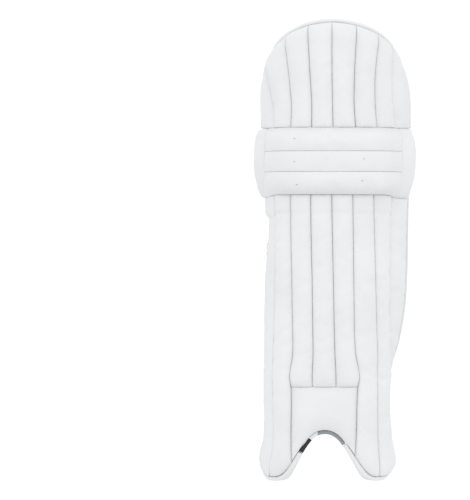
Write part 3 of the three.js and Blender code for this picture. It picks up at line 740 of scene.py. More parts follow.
def thread_cotton(name, tone, shade):
    material, tree, shader = shell(name, 0.7, 0.3)
    twist = in_frame(tree, "TexWave", 300.0, bands_direction="DIAGONAL")["Fac"]
    colour = ramp(tree, twist, ((0.0, (shade,) * 3), (1.0, (tone,) * 3)))
    feed(tree, shader, {"Base Color": colour, "Normal": bump(tree, ((twist, 0.15, 0.4),))})
    return material


def moulded_plastic():
    # Near-black plastic for the strap rings; the dark also stands in for the shade in the slots between the
    # tabs and the straps
    material, tree, shader = shell("moulded_plastic", 0.42, 0.5)
    speck = speckle(tree, 900.0, 2.0)
    colour = ramp(tree, speck, ((0.3, (0.020, 0.021, 0.022)), (0.7, (0.034, 0.035, 0.037))))
    feed(tree, shader, {"Base Color": colour, "Normal": bump(tree, ((speck, 0.08, 0.3),))})
    return material


# Leathers: name, colour, shade in its uneven tone, colour of the painted shade at seams and hidden sides,
# roughness and grain
LEATHERS = {
    "cover": ("white_leather", (0.84, 0.85, 0.86), (0.80, 0.81, 0.82), (0.70, 0.70, 0.70), 0.46, 900.0),
    "lining": ("cream_leather", (0.85, 0.83, 0.77), (0.81, 0.79, 0.73), (0.52, 0.48, 0.40), 0.55, 800.0),
    "binding_grey": ("grey_leather", (0.31, 0.35, 0.35), (0.27, 0.31, 0.31), (0.1, 0.1, 0.1), 0.45, 900.0),
    "binding_black": ("black_leather", (0.02, 0.02, 0.022), (0.014, 0.014, 0.015), (0.01,) * 3, 0.42, 900.0),
}
FINISHES = {slot: leather(*row) for slot, row in LEATHERS.items()}
FINISHES["ribbed"] = ribbed_fabric()
FINISHES["webbing"] = striped_webbing()
FINISHES["ring"] = moulded_plastic()
LABEL_FINISH = label_cloth()
WHITE_THREAD = thread_cotton("white_thread", 0.82, 0.62)
GREY_THREAD = thread_cotton("grey_thread", 0.30, 0.20)
BLACK_THREAD = thread_cotton("black_thread", 0.03, 0.015)


# Meshes


def add(name, data):
    """A new object in the scene."""
    made = bpy.data.objects.new(name, data)
    bpy.context.scene.collection.objects.link(made)
    return made


def place(name, points, faces, finish, slot, marks=None, flat_map=None):
    """Makes a piece from points in millimetres; it rides on the pad and stands for its solid.

    marks are named values a point, and flat_map is a place on the cloth for each point.
    """
    mesh = bpy.data.meshes.new(name)
    mesh.from_pydata((np.asarray(points) * MM).tolist(), [], faces)
    for mark_name, values in (marks or {}).items():
        kept = mesh.attributes.new(mark_name, "FLOAT", "POINT")
        kept.data.foreach_set("value", np.asarray(values, np.float32))
    if flat_map is not None:
        corners = np.zeros(len(mesh.loops), np.int32)
        mesh.loops.foreach_get("vertex_index", corners)
        spread_out = np.asarray(flat_map, np.float32)[corners] * MM
        mesh.uv_layers.new(name="weave").data.foreach_set("uv", spread_out.ravel())
    mesh.shade_smooth()
    mesh.materials.append(finish)
    made = add(f"dressed_{name}", mesh)
    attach(made, "root")
    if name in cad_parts:
        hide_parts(name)
    return made


def outward(points, faces):
    """The faces turned so that they point out of the closed shape."""
    volume = 0.0
    for face in faces:
        corners = points[list(face)]
        for k in range(1, len(face) - 1):
            volume += np.dot(corners[0], np.cross(corners[k], corners[k + 1]))
    return faces if volume > 0 else [tuple(reversed(face)) for face in faces]


def closed_grid(shown, hidden):
    """Points and faces of a closed pad between two like grids, with a row of points round its side."""
    up, across = shown.shape[:2]
    count = up * across
    index = np.arange(count).reshape(up, across)
    corners = (index[:-1, :-1], index[:-1, 1:], index[1:, 1:], index[1:, :-1])
    front = np.stack([part.ravel() for part in corners], axis=-1)
    back = front[:, ::-1] + count
    rim = np.concatenate([index[0, :-1], index[:-1, -1], index[-1, :0:-1], index[:0:-1, 0]])
    after = np.roll(rim, -1)
    middle = 2 * count + np.arange(len(rim))
    next_middle = np.roll(middle, -1)
    near_side = np.stack([after, rim, middle, next_middle], axis=-1)
    far_side = np.stack([next_middle, middle, rim + count, after + count], axis=-1)
    flat_shown = shown.reshape(-1, 3)
    flat_hidden = hidden.reshape(-1, 3)
    drop = flat_hidden[rim] - flat_shown[rim]
    depth = np.linalg.norm(drop, axis=1, keepdims=True)
    between = flat_shown[rim] + drop * np.minimum(EDGE_SHARE, EDGE_ROW / depth)
    points = np.concatenate([flat_shown, flat_hidden, between])
    faces = [tuple(face) for face in np.concatenate([front, back, near_side, far_side]).tolist()]
    return points, outward(points, faces)


def swept(rings, closed=False):
    """Points and faces of a closed solid through a row of like rings of points."""
    steps, count = rings.shape[:2]
    index = np.arange(steps * count).reshape(steps, count)
    if closed:
        index = np.concatenate([index, index[:1]])
    turned = np.roll(index, -1, axis=1)
    sides = np.stack([index[:-1], turned[:-1], turned[1:], index[1:]], axis=-1).reshape(-1, 4)
    faces = [tuple(face) for face in sides.tolist()]
    if not closed:
        faces.append(tuple(index[0][::-1].tolist()))
        faces.append(tuple(index[-1].tolist()))
    points = rings.reshape(-1, 3)
    return points, outward(points, faces)


# Stuffed panels


def spread(length, cell, gather):
    """Shares from 0 to 1 about a cell apart, gathered towards both ends."""
    even = np.linspace(0, 1, max(round(length / cell), LEAST_CELLS) + 1)
    return even - gather * np.sin(2 * np.pi * even) / (2 * np.pi)


class Panel:
    """A stuffed piece of the sheet between two seams and two ends: left, right, low and high."""

    def __init__(self, name, bounds, height, fill, slot="cover", cells=(CELL, CELL), gather=GATHER):
        left, right, low, high = bounds
        self.name = name
        self.bounds = bounds
        self.slot = slot
        self.fill = fill
        half_up = mix(low(0.0), high(0.0), 0.5)
        middle = mix(left(half_up), right(half_up), 0.5)
        length = float(high(middle) - low(middle))
        half_up = mix(low(middle), high(middle), 0.5)
        width = float(right(half_up) - left(half_up))
        self.columns = spread(width, cells[0], gather[0])
        self.rows = spread(length, cells[1], gather[1])
        u, v = np.meshgrid(self.columns, self.rows)
        z = mix(low(np.full(u.shape, middle)), high(np.full(u.shape, middle)), v)
        s = mix(left(z), right(z), u)
        for _ in range(6):
            z = mix(low(s), high(s), v)
            s = mix(left(z) + SEAM, right(z) - SEAM, u)
        z = mix(low(s) + SEAM, high(s) - SEAM, v)
        self.s = s
        self.z = z
        self.t = height(u, np.clip(v, END_SHARE, 1 - END_SHARE), s, z)
        self.way = 1 if self.t.mean() > 0 else -1  # covers stand to the front, linings to the leg
        self.side = np.minimum(s - left(z), right(z) - s)
        self.edge = np.minimum.reduce([self.side, z - low(s), high(s) - z])

    def shown(self):
        return sheet(self.s, self.z, self.t)

    def hidden(self):
        return sheet(self.s, self.z, self.way * GAP)

    def swell_by(self, amount):
        self.t = self.t + self.way * amount

    def height_at(self, s, z):
        """Height of the cover at places on the sheet."""
        left, right, low, high = self.bounds
        u = (s - left(z)) / (right(z) - left(z))
        v = (z - low(s)) / (high(s) - low(s))
        i = np.interp(u, self.columns, np.arange(len(self.columns)))
        j = np.interp(v, self.rows, np.arange(len(self.rows)))
        i0 = np.clip(i.astype(int), 0, len(self.columns) - 2)
        j0 = np.clip(j.astype(int), 0, len(self.rows) - 2)
        below = mix(self.t[j0, i0], self.t[j0, i0 + 1], i - i0)
        above = mix(self.t[j0 + 1, i0], self.t[j0 + 1, i0 + 1], i - i0)
        return mix(below, above, j - j0)


def swell(u, powers):
    """Swell of a stuffed panel across its width, from 0 at its seams to 1."""
    return np.maximum(1 - np.abs(2 * u - 1) ** powers[0], 0) ** powers[1]


def ends(v, length, round_low, round_high, keep_low, keep_high):
    """Fullness of a stuffed panel that is rounded at its two ends, where it keeps a share of its height."""
    low = np.clip(1 - v * length / round_low, 0, 1)
    high = np.clip(1 - (1 - v) * length / round_high, 0, 1)
    return mix(keep_low, 1, np.sqrt(1 - low * low)) * mix(keep_high, 1, np.sqrt(1 - high * high))


def bolster(u, left, right, crest, fullness):
    """Height of a bolster between the heights of its two seams, lower at its ends."""
    valley = mix(left, right, u)
    return mix(CANE_END, valley + (crest - valley) * swell(u, FULL), fullness)


def side_pad(u, from_seam, rise, full=SIDE):
    """Height of a side panel that thins out from its seam towards the edge."""
    return mix(rise, RIM_THICK, from_seam) + full * swell(u, LIGHT)


def crown_covers():
    made = []
    seams = [crown_seam(k) for k in range(len(CROWN_SEAMS))]
    rises = [rise for _, rise in CROWN_SEAMS]
    low = always(KNEE_TOP)
    for k, crest in enumerate(CROWN_CRESTS):

        def height(u, v, s, z, k=k, crest=crest):
            return bolster(u, rises[k], rises[k + 1], crest, ends(v, *ENDS["crown"]))

        bounds = (seams[k], seams[k + 1], low, crown_rim)
        made.append(Panel(f"crown_bolster_{k + 1}", bounds, height, BOLSTER_FILL))

    def inner_height(u, v, s, z):
        return side_pad(u, 1 - u, rises[0])

    def outer_height(u, v, s, z):
        return side_pad(u, u, rises[-1])

    inner = (always(-CROWN_IN + RIM), seams[0], low, crown_rim)
    outer = (seams[-1], always(CROWN_OUT - RIM), low, crown_rim)
    made.append(Panel("crown_side_inner", inner, inner_height, SIDE_FILL))
    made.append(Panel("crown_wing_outer", outer, outer_height, SIDE_FILL))
    return made


def flap_edge(width, z):
    """Edge of a flap, which is narrower at its top and bottom corners."""
    low_cut, low_from, low_over = FLAP_LOW
    high_cut, high_from, high_over = FLAP_HIGH
    return width - low_cut * ease((low_from - z) / low_over) - high_cut * ease((z - high_from) / high_over)


def flap_height(from_edge, up, dip):
    """Height of a flap from its edge, 0, to its seam with the rolls, 1, where it dips."""
    rise = ease(from_edge / FLAP_SLOPE) * (1 - dip * from_edge**FLAP_DIP_POWER)
    return mix(RIM_THICK, FLAP, rise * ends(up, *ENDS["flap"]))


def roll_height(k):
    def height(u, v, s, z):
        from_end = np.minimum(s - ROLL_FROM, ROLL_TO - s)
        full = np.sin(np.pi / 2 * np.clip(from_end / ROLL_TAPER, 0, 1))
        seam = mix(ROLL_SEAM, ROLL_SEAM_OUT, slope(s, *SHALLOW_SPAN))
        swollen = mix(seam, ROLL, 1 - (2 * v - 1) ** 2)
        if k != 1:
            from_edge = (z - knee_low(s) if k == 0 else KNEE_TOP - z) / ROLL_ROUND
            swollen = mix(ROLL_EDGE, swollen, 1 - np.clip(1 - from_edge, 0, 1) ** ROLL_POWER)
        up = (z - knee_low(s)) / (KNEE_TOP - knee_low(s))
        end = flap_height(1, up, np.where(s < 0, FLAP_DIP_IN, FLAP_DIP_OUT))
        return mix(end, swollen, full)

    return height


def knee_covers():
    made = []
    for k in range(3):
        low = knee_low if k == 0 else always(ROLL_SEAMS[k])
        bounds = (always(ROLL_FROM), always(ROLL_TO), low, always(ROLL_SEAMS[k + 1]))
        made.append(Panel(f"knee_roll_{k + 1}", bounds, roll_height(k), ROLL_FILL, cells=(CELL, ROLL_CELL)))

    def inner_height(u, v, s, z):
        return flap_height(u, v, FLAP_DIP_IN)

    def outer_height(u, v, s, z):
        return flap_height(1 - u, v, FLAP_DIP_OUT)

    inner = (lambda z: -flap_edge(FLAP_IN, z), always(ROLL_FROM), knee_low, always(KNEE_TOP))
    outer = (always(ROLL_TO), lambda z: flap_edge(FLAP_OUT, z), knee_low, always(KNEE_TOP))
    made.append(Panel("knee_flap_inner", inner, inner_height, SIDE_FILL))
    made.append(Panel("knee_flap_outer", outer, outer_height, SIDE_FILL))
    return made


def shin_covers():
    seams = [shin_seam(k) for k in range(len(SHIN_SEAMS))] + [wing_seam]
    rises = [rise for _, rise in SHIN_SEAMS] + [WING_RISE]

    def inner_height(u, v, s, z):
        above = ease((z - POUCH_LOW + POUCH_STEP) / (2 * POUCH_STEP))
        drawn = (1 - above) * (1 - ease((POUCH_LOW - z) / DRAWN_OVER))
        full = mix(SIDE_INNER, SIDE_POUCH, above)
        return side_pad(u, 1 - u, rises[0], full) - DRAWN_IN * drawn * ease((1 - u) / DRAWN_SHARE)

    made = [Panel("shin_bolster_1", (rim_in, seams[0], foot_rim, knee_low), inner_height, BOLSTER_FILL)]
    for k, crest in enumerate(SHIN_CRESTS):
        middle = k in SHIN_MIDDLE

        def height(u, v, s, z, k=k, crest=crest, shape=ENDS["shin_middle" if middle else "shin"]):
            fold = np.exp(-(((z - POUCH_LOW - POUCH_STEP) / CREASE_WIDTH) ** 2))
            return bolster(u, rises[k], rises[k + 1], crest, ends(v, *shape)) - CREASE_DEPTH * fold

        bounds = (seams[k], seams[k + 1], always(INSTEP_TOP) if middle else foot_rim, knee_low)
        made.append(Panel(f"shin_bolster_{k + 2}", bounds, height, BOLSTER_FILL))

    def wing_height(u, v, s, z):
        return side_pad(u, u, WING_RISE)

    def instep_height(u, v, s, z):
        return bolster(u, INSTEP_SEAM, INSTEP_SEAM, INSTEP, ends(v, *ENDS["instep"]))

    wing = (wing_seam, rim_out, always(WING_LOW), knee_low)
    instep = (shin_seam(1), shin_seam(4), arch_rim, always(INSTEP_TOP))
    made.append(Panel("shin_wing_outer", wing, wing_height, SIDE_FILL))
    made.append(Panel("instep_panel", instep, instep_height, FLAT_FILL))
    return made


def lining_height(crest, shape):
    def height(u, v, s, z):
        return -LINING_RIM - (crest - LINING_RIM) * swell(u, LIGHT) * ends(v, *ENDS[shape])

    return height


def lining_low(s):
    """Lower end of the calf linings: along the arch, then level above the lobe."""
    arch = arch_rim(s)
    return arch + np.maximum(LINING_LOW - arch, 0) * slope(np.abs(s), *LOW_SPAN)


def cushion_seam(low, high):
    return lambda z: mix(low, high, (z - KNEE_LOW) / (KNEE_TOP - KNEE_LOW))


def cushion_panels():
    thigh = (always(-CROWN_IN + RIM), always(CROWN_OUT - RIM), always(KNEE_TOP), crown_rim)
    made = [Panel("thigh_lining", thigh, lining_height(THIGH, "thigh"), SIDE_FILL, "lining")]
    inner_edge, outer_edge = CUSHION_EDGES
    seams = (always(inner_edge), cushion_seam(*CUSHION_IN), cushion_seam(*CUSHION_OUT), always(outer_edge))
    for k, name in enumerate(("inner", "centre", "outer")):
        bounds = (seams[k], seams[k + 1], always(KNEE_LOW), always(KNEE_TOP))
        height = lining_height(KNEE_CUSHION, "cushion")
        made.append(Panel(f"knee_cushion_{name}", bounds, height, CUSHION_FILL, "lining"))
    calf = (always(BOLSTER_IN), always(BOLSTER_OUT), arch_rim, always(KNEE_LOW))
    made.append(Panel("calf_bolster", calf, lining_height(CALF_BOLSTER, "bolster"), CUSHION_FILL, "lining"))
    inner = (always(-FACING_FAR), always(-FACING_NEAR), arch_rim, lining_low)
    outer = (always(FACING_NEAR), always(FACING_FAR), arch_rim, lining_low)
    for name, bounds in (("inner", inner), ("outer", outer)):
        made.append(Panel(f"lobe_facing_{name}", bounds, lining_height(FACING, "facing"), FACING_FILL))
    return made


def inflate(panels):
    """Inflates the panels' covers as cloth, held at their seams, and returns how far each point moved."""
    points, faces, held, starts = [], [], [], []
    count = 0
    for panel in panels:
        body, sides = closed_grid(panel.shown(), panel.hidden())
        free = np.zeros(panel.t.shape, bool)
        free[1:-1, 1:-1] = True
        pinned = np.ones(len(body), bool)
        pinned[: free.size] = ~free.ravel()
        starts.append(count)
        held += (np.flatnonzero(pinned) + count).tolist()
        faces += [tuple(corner + count for corner in face) for face in sides]
        points.append(body)
        count += len(body)
    start = np.concatenate(points)
    mesh = bpy.data.meshes.new("inflating")
    mesh.from_pydata((start * MM).tolist(), [], faces)
    body = add("inflating", mesh)
    body.vertex_groups.new(name="held").add(held, 1.0, "REPLACE")
    cloth = body.modifiers.new("Cloth", "CLOTH")
    for name, value in CLOTH.items():
        setattr(cloth.settings, name, value)
    cloth.settings.effector_weights.gravity = 0
    cloth.collision_settings.use_collision = False
    cloth.point_cache.frame_end = SIM_FRAMES
    scene = bpy.context.scene
    for step in range(1, SIM_FRAMES + 1):
        scene.frame_set(step)
    done = body.evaluated_get(bpy.context.evaluated_depsgraph_get())
    moved = np.zeros(count * 3, np.float32)
    done.data.vertices.foreach_get("co", moved)
    bpy.data.objects.remove(body)
    scene.frame_set(1)
    move = moved.reshape(-1, 3) / MM - start
    result = []
    for panel, first in zip(panels, starts):
        own = move[first : first + panel.t.size].reshape(*panel.t.shape, 3)
        lift = panel.way * np.sum(own * off_sheet(panel.s, panel.z), axis=-1)
        result.append(np.clip(lift, -MOST_MOVE, MOST_MOVE))
    return result


def uneven(panel):
    """Hand-made unevenness: broad waves over the stuffing and small puckers along the seams."""
    ground = panel.shown()
    height, size, reach = BROAD
    broad = height * smooth_noise(ground, size) * np.clip(panel.edge / reach, 0, 1)
    height, size, reach = PUCKER
    near_seam = np.exp(-panel.edge / reach) * np.clip(panel.edge / PUCKER_START, 0, 1)
    panel.swell_by(broad + height * smooth_noise(ground, size) * near_seam)


def pull_tufts(panel):
    """Dents where a thread pulls the rolls in."""
    for s, z in TUFTS:
        distance = np.hypot(panel.s - s, (panel.z - z) * TUFT_FLAT)
        panel.swell_by(-TUFT_DEPTH * np.exp(-distance / TUFT_WIDTH))


def seam_shade(panel):
    """How dark the painted shade along a panel's upright seams is: faint on knee and lobes, fading at the
    crown's rim.
    """
    if panel.name.startswith("crown_bolster"):
        return mix(FADED_SHADE, 1, slope(crown_rim(panel.s) - panel.z, *FADED_SPAN))
    if panel.slot == "cover" and panel.name.startswith(("knee_", "lobe_")):
        return FAINT_SHADE
    return 1


def dress(panel, painted_shade, painted_shade_hidden, smooth):
    """Makes a panel's piece with shade painted on it: how dark each shown point is, and one darkness for its
    sides and back.
    """
    points, faces = closed_grid(panel.shown(), panel.hidden())
    painted_shades = np.full(len(points), painted_shade_hidden)
    painted_shades[: panel.t.size] = painted_shade.ravel()
    made = place(panel.name, points, faces, FINISHES[panel.slot], panel.slot, {"painted_shade": painted_shades})
    if smooth:
        rounded = made.modifiers.new("Smooth", "SUBSURF")
        rounded.levels = 1
        rounded.render_levels = 1


covers = crown_covers() + knee_covers() + shin_covers()
cushions = cushion_panels()
stuffed = covers + cushions
for panel, lift in zip(stuffed, inflate(stuffed)):
    panel.swell_by(lift * (FIRM if panel.name == "shin_bolster_1" else 1))
for panel in stuffed:
    uneven(panel)
    if panel.name.startswith("knee_roll"):
        pull_tufts(panel)
    # Painted shade along the upright seams, fainter at the panel's ends; its sides and back get more
    shade_at_seams = seam_shade(panel) * np.exp(-panel.side / PAINTED_SHADE_WIDTH)
    dress(panel, np.maximum(shade_at_seams, FAINT_SHADE * np.exp(-panel.edge / PAINTED_SHADE_WIDTH)), HIDDEN_SIDE_SHADE, True)


# Ribbed calf linings


def rib_phase(s, z):
    """Ribs fall towards the middle on the outer side and towards the edge on the inner side."""
    outer = s - RIB_START_OUT
    inner = BOLSTER_IN - s
    rise = RIB_OUTER[0] * outer + RIB_OUTER[1] * outer**2
    fall = RIB_INNER[0] * inner + RIB_INNER[1] * inner**2
    return (z - np.where(s > 0, rise, -fall)) / RIB_PITCH


def rib_strength(s, z):
    high = np.where(s > 0, RIBS_HIGH_OUT, RIBS_HIGH_IN)
    return ease((z - RIBS_LOW) / RIBS_FADE) * (1 - ease((z - high) / RIBS_FADE))


def ribbed_lining(name, left, right):
    bounds = (left, right, lining_low, always(KNEE_LOW))
    height = lining_height(CALF_LINING, "ribbed")
    panel = Panel(name, bounds, height, FLAT_FILL, "ribbed", RIB_CELLS, RIB_GATHER)
    wave = 0.5 + 0.5 * np.cos(2 * np.pi * rib_phase(panel.s, panel.z))
    strength = rib_strength(panel.s, panel.z) * np.clip(panel.edge / RIBS_FROM_EDGE, 0, 1)
    broad_height, broad_size = RIBBED_WAVE
    broad = broad_height * smooth_noise(panel.shown(), broad_size)
    panel.swell_by(RIB_HEIGHT * (wave**RIB_POWER - 0.5) * strength + broad)
    # Painted shade in the rib grooves and along the lining's edges; its sides and back get faded painted
    # shade
    groove_shade = RIB_GROOVE_SHADE * (1 - wave) ** 3 * strength
    dress(panel, np.maximum(groove_shade, RIB_EDGE_SHADE * np.exp(-panel.edge / RIB_EDGE_SHADE_WIDTH)), FADED_SHADE, False)


def inner_border(z):
    return np.maximum(edge_in(z) + LINING_BORDER, -LINING_IN)


def outer_border(z):
    return np.minimum(edge_out(z) - LINING_BORDER, LINING_OUT)


ribbed_lining("calf_lining_inner", inner_border, always(BOLSTER_IN))
ribbed_lining("calf_lining_outer", always(BOLSTER_OUT), outer_border)


# Bare sewn label on the outer knee cushion


def sewn_label():
    """Makes the label, and returns the line of its stitches with the way off the label."""
    cushion = next(panel for panel in cushions if panel.name == "knee_cushion_outer")
    from_s, to_s, low, high = LABEL
    columns, rows = LABEL_POINTS
    s, z = np.meshgrid(np.linspace(from_s, to_s, columns), np.linspace(low, high, rows))
    base = cushion.height_at(s, z) - LABEL_LIFT
    from_side = np.minimum(s - from_s, to_s - s)
    curl = LABEL_CURL * np.clip(1 - from_side / LABEL_CURL_WIDTH, 0, 1) ** 2
    points, faces = closed_grid(sheet(s, z, base - LABEL_THICK + curl), sheet(s, z, base + curl))
    flat = np.stack([s, z], axis=-1).reshape(-1, 2)
    rim = points[2 * flat.shape[0] :, 2]
    beyond = np.stack([np.full(len(rim), from_s), rim], axis=-1)
    flat_map = np.concatenate([flat, flat, beyond])
    made = place("sewn_label", points, faces, LABEL_FINISH, "webbing", None, flat_map)
    left, right = from_s + LABEL_INSET, to_s - LABEL_INSET
    bottom, top = low + LABEL_INSET, high - LABEL_INSET
    corners = ((left, bottom), (right, bottom), (right, top), (left, top), (left, bottom))
    s, z = np.concatenate([np.linspace(a, b, 16)[:-1] for a, b in zip(corners, corners[1:])]).T
    return sheet(s, z, cushion.height_at(s, z) - LABEL_LIFT - LABEL_THICK), -off_sheet(s, z)


label_line = sewn_label()


# Edge binding


def tape_section(back, front):
    """Sections of a folded tape between its back and its front: places across it and off the sheet."""
    inside = -(MID - SEAM)
    large, small = TAPE_ROUND, TAPE_FOLD
    turn = np.linspace(0, np.pi / 2, 6)
    back = back[:, None]
    front = front[:, None]
    corners = (
        (MID - large + large * np.sin(turn), front - large + large * np.cos(turn)),
        (MID - large + large * np.cos(turn), back + large - large * np.sin(turn)),
        (inside + small - small * np.sin(turn), back + small - small * np.cos(turn)),
        (inside + small - small * np.cos(turn), front - small + small * np.sin(turn)),
    )
    across = np.concatenate([part for part, _ in corners])
    off = np.concatenate([part for _, part in corners], axis=1)
    return across, off


binding_lines = {"cover": [], "binding_grey": [], "binding_black": []}


def binding(name, path, thickness, slot):
    """A folded tape along the rim; thickness gives its back and front off the sheet at a place s."""
    path = resample(path, TAPE_STEP)
    out = left_of(path)
    back, front = thickness(path[:, 0])
    across, off = tape_section(back, front)
    at = path[:, None, :] + out[:, None, :] * across[None, :, None]
    rings = sheet(at[..., 0], at[..., 1], off)
    wave = TAPE_WAVE * smooth_noise(rings, TAPE_WAVE_SIZE)[..., None]
    rings = rings + wave * unit_rows(rings - rings.mean(axis=1, keepdims=True))
    rings[..., 2] = np.maximum(rings[..., 2], 0)
    points, faces = swept(rings)
    # Painted shade along the tape's inner edge, where it meets the panels
    painted_shade = np.tile(FADED_SHADE * np.exp(-(across - across.min()) / PAINTED_SHADE_WIDTH), len(path))
    place(name, points, faces, FINISHES[slot], slot, {"painted_shade": painted_shade})
    s, z = (path - out * (MID - SEAM - TAPE_STITCH)).T
    for t, way in ((front, 1), (back, -1)):
        binding_lines[slot].append((sheet(s, z, t), way * off_sheet(s, z)))


def lobe_path(way, stop):
    """A lobe's lower edge from where the side binding ends to a place on the arch."""
    corner = LOBE_CORNER if way < 0 else LOBE_CORNER_OUT
    edge = float(column("edge_in" if way < 0 else "edge_out", corner)) - MID
    s = way * np.concatenate([[edge], np.linspace(LOBE_REACH, stop * way, 160)])
    z = foot_edge(s, MID)
    z[0] = corner
    return np.stack([s, z], -1)


def arch_path(start, stop):
    s = np.linspace(start, stop, 40)
    return np.stack([s, foot_edge(s, MID)], -1)


def even_thickness(back, front):
    return lambda s: (np.full(len(s), float(back)), np.full(len(s), float(front)))


def lobe_thickness(s):
    """Full under the foot, as the arch's at its end there, and as the side's at the other."""
    side = slope(np.abs(s), LOBE_END, LOBE_BLEND)
    arch = ease((ARCH_FOOT - np.abs(s)) / LOBE_BLEND)
    faces = zip(LOBE_TAPE, SIDE_TAPE, ARCH_TAPE)
    return [foot + (at_side - foot) * side + (at_arch - foot) * arch for foot, at_side, at_arch in faces]


def crown_thickness(s):
    """Thinner down the two sides."""
    back, front = CROWN_TAPE
    return np.full(len(s), float(back)), mix(front, CROWN_TAPE_SIDE, slope(np.abs(s), *CROWN_TAPE_SPAN))


side_thickness = even_thickness(*SIDE_TAPE)
arch_thickness = even_thickness(*ARCH_TAPE)
side_top = KNEE_LOW - KNEE_SAG - GAP / 2
side_up = np.linspace(LOBE_CORNER + TAPE_CLEAR, side_top, 80)
side_down = np.linspace(side_top, LOBE_CORNER_OUT + TAPE_CLEAR, 80)
outer_lobe = lobe_path(1, ARCH_OUTER + JOIN)
inner_lobe = lobe_path(-1, ARCH_BLACK - JOIN)[::-1]
binding("crown_binding", CROWN_LINE - left_of(CROWN_LINE) * MID, crown_thickness, "cover")
binding("side_binding_inner", np.stack([edge_in(side_up) + MID, side_up], -1), side_thickness, "cover")
binding("side_binding_outer", np.stack([edge_out(side_down) - MID, side_down], -1), side_thickness, "cover")
binding("lobe_binding_outer", outer_lobe, lobe_thickness, "cover")
binding("arch_binding_grey", arch_path(ARCH_OUTER, ARCH_GREY), arch_thickness, "binding_grey")
binding("arch_binding_white", arch_path(ARCH_GREY - JOIN, ARCH_WHITE), arch_thickness, "cover")
binding("arch_binding_black", arch_path(ARCH_WHITE - JOIN, ARCH_BLACK), arch_thickness, "binding_black")
binding("lobe_binding_inner", inner_lobe, lobe_thickness, "cover")


# Straps, seen from above as complex numbers x + iy


def plan(s, z, t):
    point = sheet(s, z, t)
    return complex(point[0], point[1])


def unit(way):
    return way / abs(way)


def turn_left(centre, radius, heading, angle, count):
    """Points on a turn to the left round a centre, from one heading through an angle."""
    steps = np.linspace(0, 1, count + 1)
    return centre - 1j * heading * radius * np.exp(1j * angle * steps)


def webbing(name, path, thick, low, high, slot):
    """Webbing along a path seen from above, with rounded selvedges."""
    plain = resample(np.stack([path.real, path.imag], -1), WEBBING_STEP)
    aside = left_of(plain)
    width = high - low
    selvedge = np.array([0, 0.25, 1.0])
    rise = np.concatenate([selvedge, np.linspace(2, width - 2, 9), width - selvedge[::-1]])
    half = thick / 2 * np.clip(np.minimum(rise, width - rise), 0, 1) ** 0.5
    half = np.maximum(half, SELVEDGE)
    section = np.concatenate([np.stack([half, rise], -1), np.stack([-half, rise], -1)[::-1]])
    length = lengths_along(plain)
    waver = WAVER * smooth_noise(np.stack([length, 0 * length + low, 0 * length], -1), WAVER_SIZE)
    flat = plain[:, None, :] + aside[:, None, :] * section[None, :, :1]
    height = low + section[None, :, 1] + waver[:, None]
    points, faces = swept(np.concatenate([flat, height[..., None]], axis=-1))
    across = np.tile(1 - section[:, 1] / width, len(plain))
    on_cloth = np.stack(np.broadcast_arrays(length[:, None], section[None, :, 1]), -1).reshape(-1, 2)
    place(name, points, faces, FINISHES[slot], slot, {"across": across}, on_cloth)


strap_lines = []


def upright_line(spot, way, low, high):
    """A stitch line up the webbing's face at one place on its path."""
    count = 20
    rise = np.linspace(low + STITCH_INSET, high - STITCH_INSET, count)
    spot = spot + way * WEBBING / 2
    line = np.stack([np.full(count, spot.real), np.full(count, spot.imag), rise], -1)
    strap_lines.append((line, np.tile([way.real, way.imag, 0.0], (count, 1))))


def ring_frame(name, bars, inward, low, high):
    """A ring of two upright bars joined by rounded ends."""
    corner = RING_CORNER
    wire = RING_WIRE / 2
    flat_half = abs(bars[1] - bars[0]) / 2
    tall_half = (high - low) / 2 + RING_SPARE
    corners = []
    for quarter, (side, end) in enumerate(((1, 1), (-1, 1), (-1, -1), (1, -1))):
        angles = np.linspace(0, np.pi / 2, 6) + quarter * np.pi / 2
        across = side * (flat_half - corner) + corner * np.cos(angles)
        up = end * (tall_half - corner) + corner * np.sin(angles)
        corners.append(np.stack([across, up], -1))
    path = resample(np.concatenate([*corners, corners[0][:1]]), WEBBING_STEP)[:-1]
    along = unit_rows(np.roll(path, -1, axis=0) - np.roll(path, 1, axis=0))
    out = np.stack([along[:, 1], -along[:, 0]], -1)
    around = np.linspace(0, 2 * np.pi, 12, endpoint=False)
    flat = path[:, None, :] + out[:, None, :] * wire * np.cos(around)[None, :, None]
    centre = (bars[0] + bars[1]) / 2
    spot = centre + flat[..., 0] * inward + (wire * np.sin(around))[None, :] * 1j * inward
    rings = np.stack([spot.real, spot.imag, (low + high) / 2 + flat[..., 1]], -1)
    points, faces = swept(rings, closed=True)
    place(name, points, faces, FINISHES["ring"], "ring")


